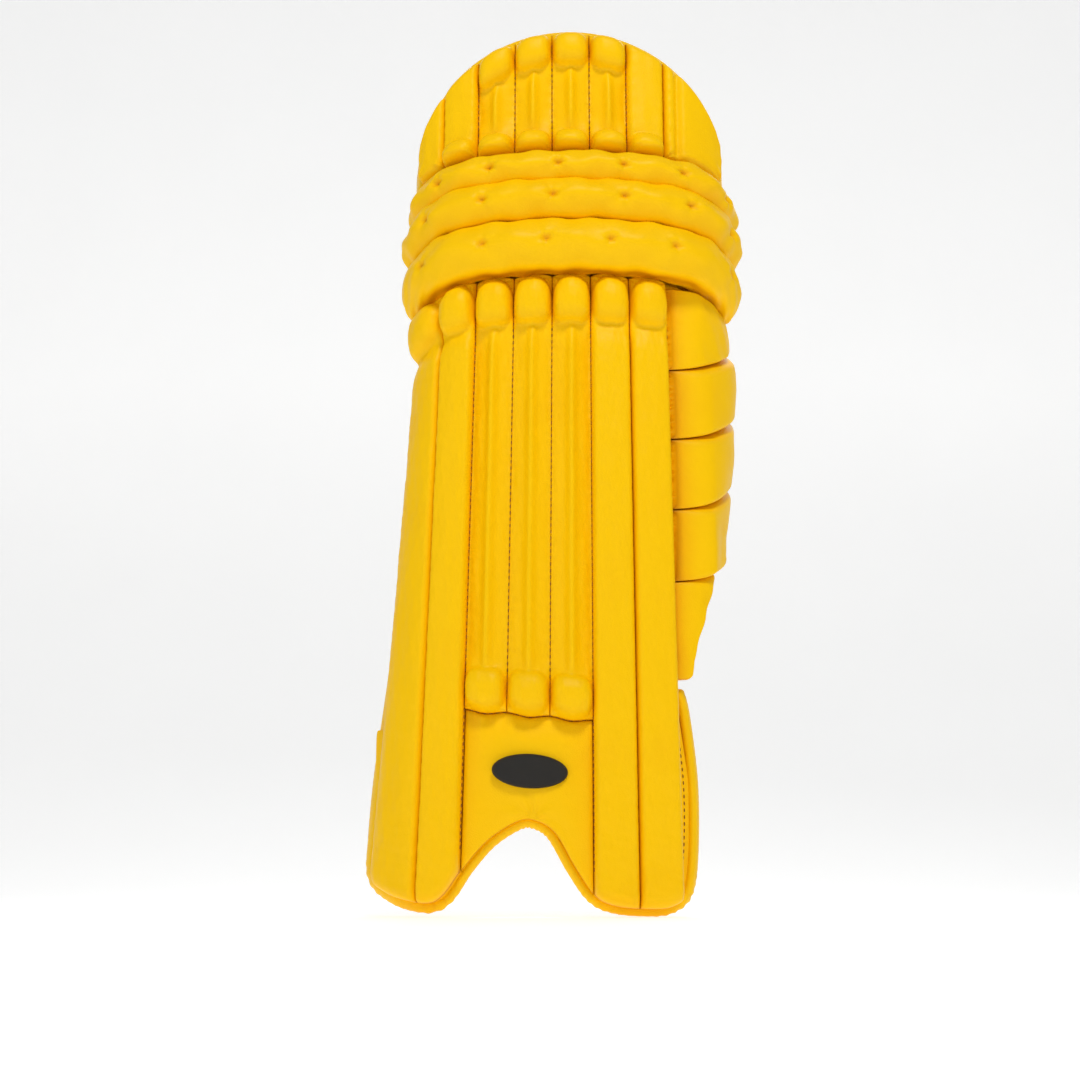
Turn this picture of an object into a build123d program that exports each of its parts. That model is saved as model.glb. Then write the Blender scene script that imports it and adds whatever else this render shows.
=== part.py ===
"""Cricket leg pad for the left leg, built up as it is sewn: a curved foam board, padded channels with split
canes, three knee rolls, a domed top hat, an outer wing, back cushions and three hook-and-loop straps.

Frame: +Z up the leg, -Y the way the batter faces, +X the outside of the leg. The origin is at the front faces of
the channels, below the middle of the centre channel, level with the lowest edge. Every curved layer follows one
U-shaped section, measured by q (in channel widths, 0 at the inner edge of the first channel) and by n (mm
outwards from the channel faces).
"""

import math
import os

from build123d import *

# ---- driving dimensions, mm ----
SHIN_TOP = 494.0            # top of the shin section at the front
SECTION_TOP = 500.0         # height at which the knee section is reached
FACE_DEPTH = 20.0           # channel thickness in front of the board
GAP = 0.8                   # sewing gap between neighbouring soft pieces
CHANNEL_WIDTH = 31.0        # width of one channel at the knee, and so of one step of q
BOARD = 8.0                 # foam board thickness
LINING = 1.2                # cotton lining thickness

CHANNELS = 7                # shin channels, counted from the inside of the leg
RIDGED = (2, 3, 4)          # the three middle channels stop above the instep
TOP_CHANNELS = 8

# U-shaped sections: middle offset, face radius, half length of that arc, corner radius, corner angle per side
FOOT = dict(middle=20.0, face=450.0, half=95.0, corner=70.0, left=40.0, right=85.0, first=-144.8, pitch=34.3)
KNEE = dict(middle=31.0, face=350.0, half=79.0, corner=60.0, left=90.0, right=90.0, first=-139.5, pitch=CHANNEL_WIDTH)
HAT = dict(middle=31.0, face=350.0, half=79.0, corner=100.0, left=62.0, right=62.0, first=-139.5, pitch=CHANNEL_WIDTH)

FLAP_Q = -1.2               # rear edge of the inner flap
SEAM_Q = 7.0                # seam between the last channel and the wing
FOOT_Q = 7.55               # outer edge of the foot below the wing
WING_REAR_Q = 10.9          # rear edge of the wing, before its outline is cut

INSTEP_TOP = 148.0          # seam between the middle channels and the instep
WING_FOOT = 169.0           # lower tip of the wing
WING_SEAMS = (249.0, 306.0, 362.5, 419.0)    # heights of the seams between the wing's blocks at its front
SEAM_RISE = 0.57            # rise of those seams per mm towards the leg
WING_TOP = 487.0
WING_TILT = 0.24

KNEE_TILT = 0.36            # fall of the shin section's top edge per mm of depth
HAT_TILT = 0.36             # fall of the top hat's lower edge per mm of depth
HAT_FOOT = 603.5            # lower edge of the top hat at the front
DOME = dict(half=122.0, height=104.0, base=604.0)

HINGE_DEPTH = 60.0          # depth of both knee creases
LOWER_CREASE = 476.0
UPPER_CREASE = 577.0

STRAP_WIDTH = 45.0
STRAP_THICK = 3.0
STRAP_BACK = 168.0          # depth of the straps' inner face behind the calf
STRAPS = {"ankle": 120.0, "calf": 350.0, "knee": 434.0}

os.makedirs("parts", exist_ok=True)


def save(builder, name):
    """Labels a finished piece and writes it as its own STEP file."""
    builder.part.label = name
    export_step(builder.part, f"parts/{name}.step")


# ---- the curved section ----
def section_at(shape, u, n):
    """Point of a section u mm along its face from the middle, moved n mm outwards."""
    side = -1 if u < 0 else 1
    limit = math.radians(shape["left"] if u < 0 else shape["right"])
    front = shape["half"] / shape["face"]
    along = min(abs(u), shape["half"])
    angle = along / shape["face"]
    x = shape["face"] * math.sin(angle)
    y = shape["face"] * (1 - math.cos(angle))
    rest = abs(u) - along
    turned = min(rest, shape["corner"] * (limit - front))
    angle += turned / shape["corner"]
    x += shape["corner"] * (math.sin(angle) - math.sin(front)) if turned > 0 else 0
    y += shape["corner"] * (math.cos(front) - math.cos(angle)) if turned > 0 else 0
    straight = rest - turned
    x += straight * math.cos(angle) + n * math.sin(angle)
    y += straight * math.sin(angle) - n * math.cos(angle)
    return shape["middle"] + side * x, y


def along(shape, q):
    return shape["first"] + shape["pitch"] * q


def shell_at(q, n, z):
    """Point of the shin's surface: the foot section turns steadily into the knee section."""
    share = min(z / SECTION_TOP, 1.0)
    foot = section_at(FOOT, along(FOOT, q), n)
    knee = section_at(KNEE, along(KNEE, q), n)
    return tuple((1 - share) * a + share * b for a, b in zip(foot, knee))


def band_face(point, q0, q1, n_out, n_in, z, crown=0.0):
    """Face of a strip between q0 and q1 from depth n_in out to n_out; crown bevels its two outer corners."""
    count = max(3, 2 * math.ceil(abs(q1 - q0)) + 1)
    inset = crown / CHANNEL_WIDTH
    outer = [point(q0 + inset + (q1 - q0 - 2 * inset) * i / (count - 1), n_out, z) for i in range(count)]
    inner = [point(q0 + (q1 - q0) * i / (count - 1), n_in, z) for i in range(count)]
    with BuildSketch(Plane.XY.offset(z)) as face:
        with BuildLine():
            Spline(*outer)
            Spline(*inner)
            if crown:
                shoulder = n_out - crown
                Polyline(outer[0], point(q0, shoulder, z), inner[0])
                Polyline(outer[-1], point(q1, shoulder, z), inner[-1])
            else:
                Line(outer[0], inner[0])
                Line(outer[-1], inner[-1])
        make_face()
    return face.sketch


def shell_band(q0, q1, n_out, n_in, z0, z1, crown=0.0):
    """The two end faces of a strip of the shin's shell, ready to loft."""
    return [band_face(shell_at, q0, q1, n_out, n_in, z, crown) for z in (z0, z1)]


def knee_at(q, n, z):
    return section_at(KNEE, along(KNEE, q), n)


def hat_at(q, n, z):
    return section_at(HAT, along(HAT, q), n)


def above(height, tilt):
    """Cutting plane through the front at a height, falling by tilt per mm of depth towards the leg."""
    return Plane(origin=(0, 0, height), x_dir=(1, 0, 0), z_dir=(0, tilt, 1))


# ---- outlines seen from the front and the side ----
BOTTOM_EDGE = [
    (-118, 57), (-117.5, 32), (-104, 20), (-86, 13.5), (-73, 12.5), (-63, 19.5), (-50, 38), (-32, 58),
    (-10, 71.5), (4, 71.5), (18, 62), (33, 36.5), (47, 17), (62, 10), (84, 8), (102, 9.5), (114, 20), (118.5, 50),
]  # (x, z) points of the sewn edge round both feet and over the instep
FOOT_FLARE = ((-110, 150), (119, 100), (112, 150))
WING_EDGE = [(18, 165), (42, 257), (73, 290), (99, 322), (110, 372), (111, 440), (106, 476)]  # (y, z)
BLOCK_EDGE = [(38, 240), (42, 256), (56, 282), (63, 320), (66, 400), (64, 490)]  # (y, z)
PIPING = 8.0                # how far the rolled binding stands out from the sewn edges
OUTLINE_TOP = 520.0         # height past the shin section, where its outlines are closed


def moved_out(points, grow):
    """Points of an open outline, run with the pad on the left hand, moved outwards square to it by grow."""
    moved = []
    for i, (across, up) in enumerate(points):
        before, after = points[max(i - 1, 0)], points[min(i + 1, len(points) - 1)]
        run = math.hypot(after[0] - before[0], after[1] - before[1])
        moved.append((across + grow * (after[1] - before[1]) / run, up - grow * (after[0] - before[0]) / run))
    return moved


def shin_outline(grow=0.0):
    """Front outline of the shin section, from the tops of its sides down round both feet."""
    left, right, right_top = FOOT_FLARE
    edge = moved_out(BOTTOM_EDGE, grow)
    with BuildSketch(Plane.XZ) as outline:
        with BuildLine():
            Spline(*edge)
            left_side = [(left[0] - grow, left[1]), (left[0] - grow, OUTLINE_TOP)]
            right_side = [(right[0] + grow, right[1]), (right_top[0] + grow, right_top[1])]
            right_side.append((right_top[0] + grow, OUTLINE_TOP))
            Polyline(edge[0], *left_side, right_side[-1], *reversed(right_side[:-1]), edge[-1])
        make_face()
    return outline.sketch


def front_prism(outline):
    """A front outline drawn out through the whole depth of the pad."""
    with BuildPart() as prism:
        extrude(outline, amount=250, both=True)
    return prism.part


def side_outline(edge, inset=0.0):
    """Side outline in front of a curved rear edge of (y, z) points."""
    with BuildSketch(Plane.YZ) as outline:
        with BuildLine():
            points = [(y - inset, z) for y, z in edge]
            Spline(*points)
            front = [(-40, points[0][1]), (-40, OUTLINE_TOP), (points[-1][0], OUTLINE_TOP)]
            Polyline(points[0], *front, points[-1])
        make_face()
    return outline.sketch


def side_prism(outline):
    """A side outline drawn out over the outer half of the pad."""
    with BuildPart() as prism:
        extrude(outline, amount=260)
    return prism.part


def dome_outline(grow=0.0):
    """Front outline of the top hat: half an ellipse on two short straight sides."""
    with BuildSketch(Plane.XZ) as outline:
        with Locations((KNEE["middle"], DOME["base"])):
            Ellipse(DOME["half"] + grow, DOME["height"] + grow)
        with Locations((KNEE["middle"], DOME["base"] - 40)):
            Rectangle(2 * (DOME["half"] + grow), 80)
    return outline.sketch


shin_front = front_prism(shin_outline())
shin_front_ring = front_prism(shin_outline(PIPING) - shin_outline(0.4))
wing_side = side_prism(side_outline(WING_EDGE))
wing_side_inset = side_prism(side_outline(WING_EDGE, 2 * GAP))
wing_side_ring = side_prism(side_outline(WING_EDGE, -0.7 * PIPING) - side_outline(WING_EDGE, -0.4))
block_side = side_prism(side_outline(BLOCK_EDGE))
dome_front = front_prism(dome_outline())
dome_front_ring = front_prism(dome_outline(PIPING) - dome_outline(0.4))
dome_front_inset = front_prism(dome_outline(-3.0))


# ---- shin section ----
board_out = -FACE_DEPTH - GAP
board_in = board_out - BOARD
lining_out = board_in - GAP / 2
lining_in = lining_out - LINING

with BuildPart() as shin_board:
    loft(sections=shell_band(FLAP_Q, FOOT_Q, board_out, board_in, 0, SHIN_TOP), ruled=True)
    split(bisect_by=above(SHIN_TOP, KNEE_TILT), keep=Keep.BOTTOM)
    add(shin_front, mode=Mode.INTERSECT)
    beside_wing = (board_out + 4, board_in - 4, WING_FOOT - 6, SHIN_TOP + 10)
    loft(sections=shell_band(SEAM_Q - 0.05, FOOT_Q + 0.3, *beside_wing), ruled=True, mode=Mode.SUBTRACT)
save(shin_board, "shin_board")

with BuildPart() as shin_lining:
    loft(sections=shell_band(FLAP_Q, SEAM_Q - 0.15, lining_out, lining_in, 0, SHIN_TOP), ruled=True)
    split(bisect_by=above(SHIN_TOP - 2, KNEE_TILT), keep=Keep.BOTTOM)
    add(shin_front, mode=Mode.INTERSECT)
save(shin_lining, "shin_lining")

with BuildPart() as shin_piping:
    loft(sections=shell_band(FLAP_Q + 0.02, FOOT_Q + 0.3, board_out + 3, board_in - 2, -8, 132), ruled=True)
    add(shin_front_ring, mode=Mode.INTERSECT)
save(shin_piping, "shin_piping")

CANE_DEPTH = (-9.0, -14.0)
CANE_SLOT = (0.3, 0.7)      # where a cane's pocket runs across its channel
CANE = (0.306, 0.694)
CANE_TOP = 455.0
HALF_GAP = GAP / 2 / CHANNEL_WIDTH
slim = (CANE_DEPTH[0] - 0.15, CANE_DEPTH[1] + 0.15)


def channel_foot(number):
    """Height of a channel's lower end: the middle ones stop at the instep seam."""
    return INSTEP_TOP + 1.5 if number in RIDGED else 0


def across(number, share):
    """Channel coordinates of a strip that takes up a share of a channel's width."""
    return number + share[0], number + share[1]


for number in range(CHANNELS):
    foot = channel_foot(number)
    q0 = number + HALF_GAP
    q1 = number + 1 - HALF_GAP
    cane = shell_band(*across(number, CANE_SLOT), *CANE_DEPTH, foot + 30, CANE_TOP)
    with BuildPart() as channel:
        loft(sections=shell_band(q0, q1, 0, -FACE_DEPTH, foot, SHIN_TOP, crown=5), ruled=True)
        split(bisect_by=above(SHIN_TOP - 1, KNEE_TILT), keep=Keep.BOTTOM)
        if number not in RIDGED:
            add(shin_front, mode=Mode.INTERSECT)
        loft(sections=cane, ruled=True, mode=Mode.SUBTRACT)
    save(channel, f"shin_channel_{number + 1}")

with BuildPart() as shin_canes:
    for number in range(CHANNELS):
        ends = (channel_foot(number) + 30.5, CANE_TOP - 0.5)
        loft(sections=shell_band(*across(number, CANE), *slim, *ends), ruled=True)
save(shin_canes, "shin_canes")

with BuildPart() as instep_panel:
    first, last = RIDGED[0] + HALF_GAP, RIDGED[-1] + 1 - HALF_GAP
    loft(sections=shell_band(first, last, -9, -FACE_DEPTH, 0, INSTEP_TOP, crown=4), ruled=True)
    add(shin_front, mode=Mode.INTERSECT)
save(instep_panel, "instep_panel")

BADGE_HEIGHT = 106.0
with BuildPart() as instep_badge:
    badge_depth = shell_at(3.5, -9, BADGE_HEIGHT)[1]
    with BuildSketch(Plane.XZ.offset(-badge_depth + 2.4)):
        with Locations((-1.5, BADGE_HEIGHT)):
            Ellipse(28, 13)
    extrude(amount=1.6)
save(instep_badge, "instep_badge")


def cushion(q0, q1, thick, z0, z1, point=shell_at):
    """Sections of a back cushion lying on the lining, with bevelled inner corners."""
    rear = lining_in - GAP / 2
    faces = []
    for z in (z0, z1):
        inset = 5 / CHANNEL_WIDTH
        outer = [point(q0 + (q1 - q0) * i / 2, rear, z) for i in range(3)]
        inner = [point(q0 + inset + (q1 - q0 - 2 * inset) * i / 2, rear - thick, z) for i in range(3)]
        with BuildSketch(Plane.XY.offset(z)) as face:
            with BuildLine():
                Spline(*outer)
                Spline(*inner)
                Polyline(outer[0], point(q0, rear - thick + 6, z), inner[0])
                Polyline(outer[-1], point(q1, rear - thick + 6, z), inner[-1])
            make_face()
        faces.append(face.sketch)
    return faces


for name, q0, q1, thick, z0, z1 in (
    ("shin_bolster_inner", 2.1, 3.4, 22.0, 165, 462),
    ("shin_bolster_outer", 5.1, 6.4, 22.0, 165, 462),
    ("ankle_cushion", 2.4, 4.6, 12.0, 84, 150),
):
    with BuildPart() as bolster:
        loft(sections=cushion(q0, q1, thick, z0, z1), ruled=True)
    save(bolster, name)

# a stiff tab behind the outer ankle, where the ankle strap fastens
TAB_REAR = 78.0
ankle_edge = shell_at(FOOT_Q, board_in + 4, STRAPS["ankle"])
with BuildPart() as ankle_tab:
    with BuildSketch(Plane.XY.offset(STRAPS["ankle"] - STRAP_WIDTH / 2 - 2)):
        with Locations((ankle_edge[0] - 9.5, (ankle_edge[1] + TAB_REAR) / 2 + 3)):
            Rectangle(4, TAB_REAR - ankle_edge[1] + 2)
    extrude(amount=STRAP_WIDTH + 4)
    fillet(ankle_tab.edges().filter_by(Axis.X).group_by(Axis.Y)[-1], radius=8)
save(ankle_tab, "ankle_tab")

# ---- knee section ----
KNEE_FOOT = 440.0           # the knee's layers are made from here up, then cut to their slanting edges
KNEE_HEIGHT = 166.0

with BuildPart() as knee_board:
    extrude(band_face(knee_at, 0.2, 8.8, board_out, board_in, KNEE_FOOT), amount=KNEE_HEIGHT)
    split(bisect_by=above(SHIN_TOP + 2.5, KNEE_TILT - 0.06), keep=Keep.TOP)
    split(bisect_by=above(HAT_FOOT - 2.0, HAT_TILT), keep=Keep.BOTTOM)
save(knee_board, "knee_board")

# centre height at the front, half height and half thickness of each roll there
ROLLS = {"lower": (517.0, 19.4, 21.5), "middle": (555.3, 15.0, 20.5), "upper": (586.6, 13.4, 19.0)}
ROLL_FALL = 0.335           # fall of the rolls per mm of depth towards the leg
ROLL_END = 166.0            # distance along the section from the middle to a roll's end
ROLL_THINNING = 0.34        # share of thickness lost at the ends
ROLL_COVER = 3.0


def roll_sections(name, shrink):
    """Upright elliptical sections of a roll along its falling centre line, from its inner to its outer end."""
    height, half_height, thick = ROLLS[name]
    end = ROLL_END - shrink
    sections = []
    for u in (end * step / 8 for step in range(-8, 9)):
        half_thick = thick * (1 - ROLL_THINNING * max(0, (abs(u) - 60) / (ROLL_END - 60)) ** 1.3)
        depth = -FACE_DEPTH + GAP / 2 + half_thick
        (x, y), (next_x, next_y) = section_at(KNEE, u, depth), section_at(KNEE, u + 1, depth)
        ahead = Vector(next_x - x, next_y - y, -ROLL_FALL * (next_y - y))
        plane = Plane(origin=(x, y, height - ROLL_FALL * y), z_dir=ahead, x_dir=ahead.cross(Vector(0, 0, 1)))
        with BuildSketch(plane) as section:
            Ellipse(half_thick - shrink, half_height - shrink)
        sections.append(section.sketch)
    return sections


for name in ROLLS:
    with BuildPart() as cover:
        loft(sections=roll_sections(name, 0), ruled=True)
        loft(sections=roll_sections(name, ROLL_COVER), ruled=True, mode=Mode.SUBTRACT)
    save(cover, f"knee_roll_{name}")
    with BuildPart() as core:
        loft(sections=roll_sections(name, ROLL_COVER + 0.3), ruled=True)
    save(core, f"knee_roll_{name}_core")

with BuildPart() as knee_lining:
    extrude(band_face(knee_at, 0.5, 8.5, lining_out, lining_in, KNEE_FOOT), amount=KNEE_HEIGHT)
    split(bisect_by=above(SHIN_TOP + 4, KNEE_TILT - 0.06), keep=Keep.TOP)
    split(bisect_by=above(HAT_FOOT - 3.5, HAT_TILT), keep=Keep.BOTTOM)
save(knee_lining, "knee_lining")

for name, q0, q1, thick, z0, z1 in (
    ("knee_cup", 2.9, 6.1, 15.0, 500, 568),
    ("knee_cushion_inner", 1.4, 2.7, 20.0, 492, 556),
    ("knee_cushion_outer", 6.3, 7.6, 20.0, 492, 556),
):
    with BuildPart() as bolster:
        loft(sections=cushion(q0, q1, thick, z0, z1, point=knee_at), ruled=True)
    save(bolster, name)

# ---- top hat ----
HAT_EDGE_Q = (-0.6, 9.6)
HAT_START = 550.0           # the hat's layers are made from here up, then cut to their edges
HAT_HEIGHT = 170.0

with BuildPart() as hat_board:
    extrude(band_face(hat_at, *HAT_EDGE_Q, board_out, board_in, HAT_START), amount=HAT_HEIGHT)
    split(bisect_by=above(HAT_FOOT + 1.5, HAT_TILT), keep=Keep.TOP)
    add(dome_front, mode=Mode.INTERSECT)
save(hat_board, "hat_board")

with BuildPart() as hat_lining:
    extrude(band_face(hat_at, *HAT_EDGE_Q, lining_out, lining_in, HAT_START), amount=HAT_HEIGHT)
    split(bisect_by=above(HAT_FOOT + 1.5, HAT_TILT), keep=Keep.TOP)
    add(dome_front_inset, mode=Mode.INTERSECT)
save(hat_lining, "hat_lining")

with BuildPart() as hat_piping:
    extrude(band_face(hat_at, *HAT_EDGE_Q, board_out + 3, board_in - 2, HAT_START), amount=HAT_HEIGHT)
    split(bisect_by=above(HAT_FOOT + 1.5, HAT_TILT), keep=Keep.TOP)
    add(dome_front_ring, mode=Mode.INTERSECT)
save(hat_piping, "hat_piping")

HAT_CANE_FOOT = 624.0
HAT_CANE = 34.0
for number in range(TOP_CHANNELS):
    q0 = HAT_EDGE_Q[0] if number == 0 else number + HALF_GAP
    q1 = HAT_EDGE_Q[1] if number == TOP_CHANNELS - 1 else number + 1 - HALF_GAP
    caned = 0 < number < TOP_CHANNELS - 1
    with BuildPart() as channel:
        extrude(band_face(hat_at, q0, q1, 0, -FACE_DEPTH, HAT_START, crown=5), amount=HAT_HEIGHT)
        split(bisect_by=above(HAT_FOOT + 2.5, HAT_TILT), keep=Keep.TOP)
        add(dome_front_inset, mode=Mode.INTERSECT)
        if caned:
            pocket = band_face(hat_at, *across(number, CANE_SLOT), *CANE_DEPTH, HAT_CANE_FOOT)
            extrude(pocket, amount=HAT_CANE, mode=Mode.SUBTRACT)
    save(channel, f"hat_channel_{number + 1}")

with BuildPart() as hat_canes:
    for number in range(1, TOP_CHANNELS - 1):
        extrude(band_face(hat_at, *across(number, CANE), *slim, HAT_CANE_FOOT + 0.5), amount=HAT_CANE - 1)
save(hat_canes, "hat_canes")

with BuildPart() as hat_cushion:
    loft(sections=cushion(2.6, 6.4, 15.0, 598, 676, point=hat_at), ruled=True)
save(hat_cushion, "hat_cushion")

# ---- wing ----
wing_start = SEAM_Q + 0.14
wing_heights = (WING_FOOT - 4, SHIN_TOP)

with BuildPart() as wing_board:
    loft(sections=shell_band(wing_start, WING_REAR_Q, board_out, board_in, *wing_heights), ruled=True)
    split(bisect_by=above(WING_TOP, WING_TILT), keep=Keep.BOTTOM)
    add(wing_side, mode=Mode.INTERSECT)
save(wing_board, "wing_board")

with BuildPart() as wing_lining:
    loft(sections=shell_band(wing_start + 0.08, WING_REAR_Q, lining_out, lining_in, *wing_heights), ruled=True)
    split(bisect_by=above(WING_TOP - 2, WING_TILT), keep=Keep.BOTTOM)
    add(wing_side_inset, mode=Mode.INTERSECT)
save(wing_lining, "wing_lining")

with BuildPart() as wing_piping:
    strip = (wing_start + 0.2, WING_REAR_Q + 0.3, board_out + 2, board_in - 1.6)
    loft(sections=shell_band(*strip, *wing_heights), ruled=True)
    split(bisect_by=above(WING_TOP, WING_TILT), keep=Keep.BOTTOM)
    add(wing_side_ring, mode=Mode.INTERSECT)
save(wing_piping, "wing_piping")


def wing_seam(number, side):
    """Plane just above (side 1) or below (side -1) one of the wing's slanting seams."""
    at_front = shell_at(SEAM_Q, -6, WING_SEAMS[number])[1]
    return above(WING_SEAMS[number] + side * GAP / 2 - SEAM_RISE * at_front, -SEAM_RISE)


wing_panel_names = ("wing_lower_panel", "wing_block_3", "wing_block_2", "wing_block_1", "wing_upper_panel")
for number, name in enumerate(wing_panel_names):
    raised = "block" in name
    face, crown = (-3, 7) if raised else (-6, 4)
    with BuildPart() as panel:
        loft(sections=shell_band(SEAM_Q + 0.06, WING_REAR_Q, face, -FACE_DEPTH, *wing_heights, crown), ruled=True)
        split(bisect_by=above(WING_TOP - 1, WING_TILT), keep=Keep.BOTTOM)
        if number > 0:
            split(bisect_by=wing_seam(number - 1, 1), keep=Keep.TOP)
        if number < len(WING_SEAMS):
            split(bisect_by=wing_seam(number, -1), keep=Keep.BOTTOM)
        add(block_side if number else wing_side_inset, mode=Mode.INTERSECT)
    save(panel, name)

# ---- straps ----
LOOP_THICK = 1.6
BORDER_Q = (10.0, 10.6)

with BuildPart() as strap_anchors:
    for height in STRAPS.values():
        z0, z1 = height - STRAP_WIDTH / 2, height + STRAP_WIDTH / 2
        loft(sections=shell_band(FLAP_Q + 0.1, -0.3, board_out + 3.4, board_out + 0.4, z0, z1), ruled=True)
    add(shin_front, mode=Mode.INTERSECT)
save(strap_anchors, "strap_anchors")

with BuildPart() as loop_patches:
    for height in (STRAPS["calf"], STRAPS["knee"]):
        z0, z1 = height - STRAP_WIDTH / 2, height + STRAP_WIDTH / 2
        loft(sections=shell_band(*BORDER_Q, board_out + 0.2 + LOOP_THICK, board_out + 0.2, z0, z1), ruled=True)
save(loop_patches, "loop_patches")

for name, height in STRAPS.items():
    z0 = height - STRAP_WIDTH / 2
    hinge = shell_at(FLAP_Q - 0.13, (board_out + board_in) / 2, height)
    if name == "ankle":
        tab_x = ankle_edge[0] - 9.5 + 2 + 2.4
        straight = (47.0, TAB_REAR + 2)
    else:
        corners = [shell_at(q, board_out + 0.2 + LOOP_THICK, height + side * STRAP_WIDTH / 2)[0]
                   for q in BORDER_Q for side in (-1, 1)]
        tab_x = max(corners) + 2.4
        straight = (76.0, 112.0)
    middle = (hinge[0] + tab_x) / 2
    with BuildPart() as band:
        with BuildSketch(Plane.XY.offset(z0)):
            with Locations((middle, hinge[1])):
                Ellipse(middle - hinge[0] + STRAP_THICK / 2, STRAP_BACK + STRAP_THICK - hinge[1])
                Ellipse(middle - hinge[0] - STRAP_THICK / 2, STRAP_BACK - hinge[1], mode=Mode.SUBTRACT)
            with Locations((middle - 0.5, hinge[1])):
                Rectangle(300, 300, align=(Align.MAX, Align.MIN), mode=Mode.INTERSECT)
        extrude(amount=STRAP_WIDTH)
    save(band, f"{name}_strap_band")
    with BuildPart() as tab:
        with BuildSketch(Plane.XY.offset(z0)):
            with Locations((middle, straight[1])):
                Ellipse(tab_x + STRAP_THICK - middle, STRAP_BACK + STRAP_THICK - straight[1])
                Ellipse(tab_x - middle, STRAP_BACK - straight[1], mode=Mode.SUBTRACT)
            with Locations((middle + 0.5, straight[1])):
                Rectangle(300, 300, align=(Align.MIN, Align.MIN), mode=Mode.INTERSECT)
            with Locations((tab_x, straight[1])):
                Rectangle(STRAP_THICK, straight[1] - straight[0], align=(Align.MIN, Align.MAX))
        extrude(amount=STRAP_WIDTH)
        fillet(tab.edges().filter_by(Axis.X).group_by(Axis.Y)[0], radius=12)
    save(tab, f"{name}_strap_tab")
    with BuildPart() as hook:
        with BuildSketch(Plane.XY.offset(z0 + 3)):
            with Locations((tab_x - 0.1, straight[0] + 2)):
                Rectangle(1.3, 20, align=(Align.MAX, Align.MIN))
        extrude(amount=STRAP_WIDTH - 6)
    save(hook, f"{name}_hook_patch")
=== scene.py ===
"""A cricket leg pad for the left leg, dressed part by part in the order it is sewn together.

Metres, +Z up the leg, -Y the way the batter faces, +X the outside of the leg. Most pieces are surfaces over the
pad's curved shell: q counts channel widths from the inner edge of the first channel, n is the distance outwards
from the channel faces, and z is the height.
"""

import math

import bmesh
import bpy
import numpy as np
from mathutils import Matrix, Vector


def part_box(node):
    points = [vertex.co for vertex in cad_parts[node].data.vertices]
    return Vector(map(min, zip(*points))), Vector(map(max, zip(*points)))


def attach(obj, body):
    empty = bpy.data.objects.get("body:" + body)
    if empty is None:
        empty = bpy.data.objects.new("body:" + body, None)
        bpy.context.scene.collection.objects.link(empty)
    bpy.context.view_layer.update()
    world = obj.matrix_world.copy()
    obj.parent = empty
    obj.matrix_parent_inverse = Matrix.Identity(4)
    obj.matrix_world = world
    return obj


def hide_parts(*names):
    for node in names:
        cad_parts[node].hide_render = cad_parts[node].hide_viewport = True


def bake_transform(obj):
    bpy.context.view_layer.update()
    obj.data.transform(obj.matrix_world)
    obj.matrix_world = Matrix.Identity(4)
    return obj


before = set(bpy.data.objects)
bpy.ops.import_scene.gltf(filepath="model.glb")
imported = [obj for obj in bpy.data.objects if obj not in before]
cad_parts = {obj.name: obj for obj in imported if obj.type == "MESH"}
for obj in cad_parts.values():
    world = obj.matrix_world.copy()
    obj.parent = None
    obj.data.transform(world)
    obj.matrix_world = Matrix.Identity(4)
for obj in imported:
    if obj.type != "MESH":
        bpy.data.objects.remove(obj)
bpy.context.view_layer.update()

# ---- Shin channels -------------------------------------------------------------------------------------------
# Seven tubes of coated cloth, stuffed with wadding over split canes and sewn side by side to the foam board.
# The outer four run flat-faced into the feet. The middle three are drawn in to a ridge over their canes, and
# swell into a round end above the instep. All seven swell under the knee roll.
FOOT = dict(middle=0.020, face=0.450, half=0.095, corner=0.070, left=40, right=85, first=-0.1448, pitch=0.0343)
KNEE = dict(middle=0.031, face=0.350, half=0.079, corner=0.060, left=90, right=90, first=-0.1395, pitch=0.0310)
SECTION_TOP = 0.500
SHIN_TOP = 0.4965
TOP_FALL = 0.36
FACE_DEPTH = 0.020
BOARD_FACE = -0.0208


def section(shape, u, n):
    """U-shaped section: an arc across the face, a tighter arc round each corner, then straight sides. u is the
    length along it from the middle, n the distance outwards; returns x and y."""
    side = np.where(u < 0, -1.0, 1.0)
    limit = np.radians(np.where(u < 0, shape["left"], shape["right"]))
    front = np.minimum(np.abs(u), shape["half"])
    turned = np.clip(np.abs(u) - front, 0, shape["corner"] * (limit - shape["half"] / shape["face"]))
    straight = np.abs(u) - front - turned
    start = front / shape["face"]
    angle = start + turned / shape["corner"]
    x = shape["face"] * np.sin(start) + shape["corner"] * (np.sin(angle) - np.sin(start))
    y = shape["face"] * (1 - np.cos(start)) + shape["corner"] * (np.cos(start) - np.cos(angle))
    x = x + straight * np.cos(angle) + n * np.sin(angle)
    y = y + straight * np.sin(angle) - n * np.cos(angle)
    return shape["middle"] + side * x, y


def on_section(shape, q, n, z):
    """Points of one upright section at channel coordinate q."""
    q, n, z = np.broadcast_arrays(np.asarray(q, float), np.asarray(n, float), np.asarray(z, float))
    x, y = section(shape, shape["first"] + shape["pitch"] * q, n)
    return np.stack([x, y, z], -1)


def on_shin(q, n, z):
    """Points of the shin's shell: the foot's section turns steadily into the knee's with height."""
    foot, knee = on_section(FOOT, q, n, z), on_section(KNEE, q, n, z)
    share = np.clip(foot[..., 2:] / SECTION_TOP, -0.1, 1.0)
    both = (1 - share) * foot + share * knee
    both[..., 2] = foot[..., 2]
    return both


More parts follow.
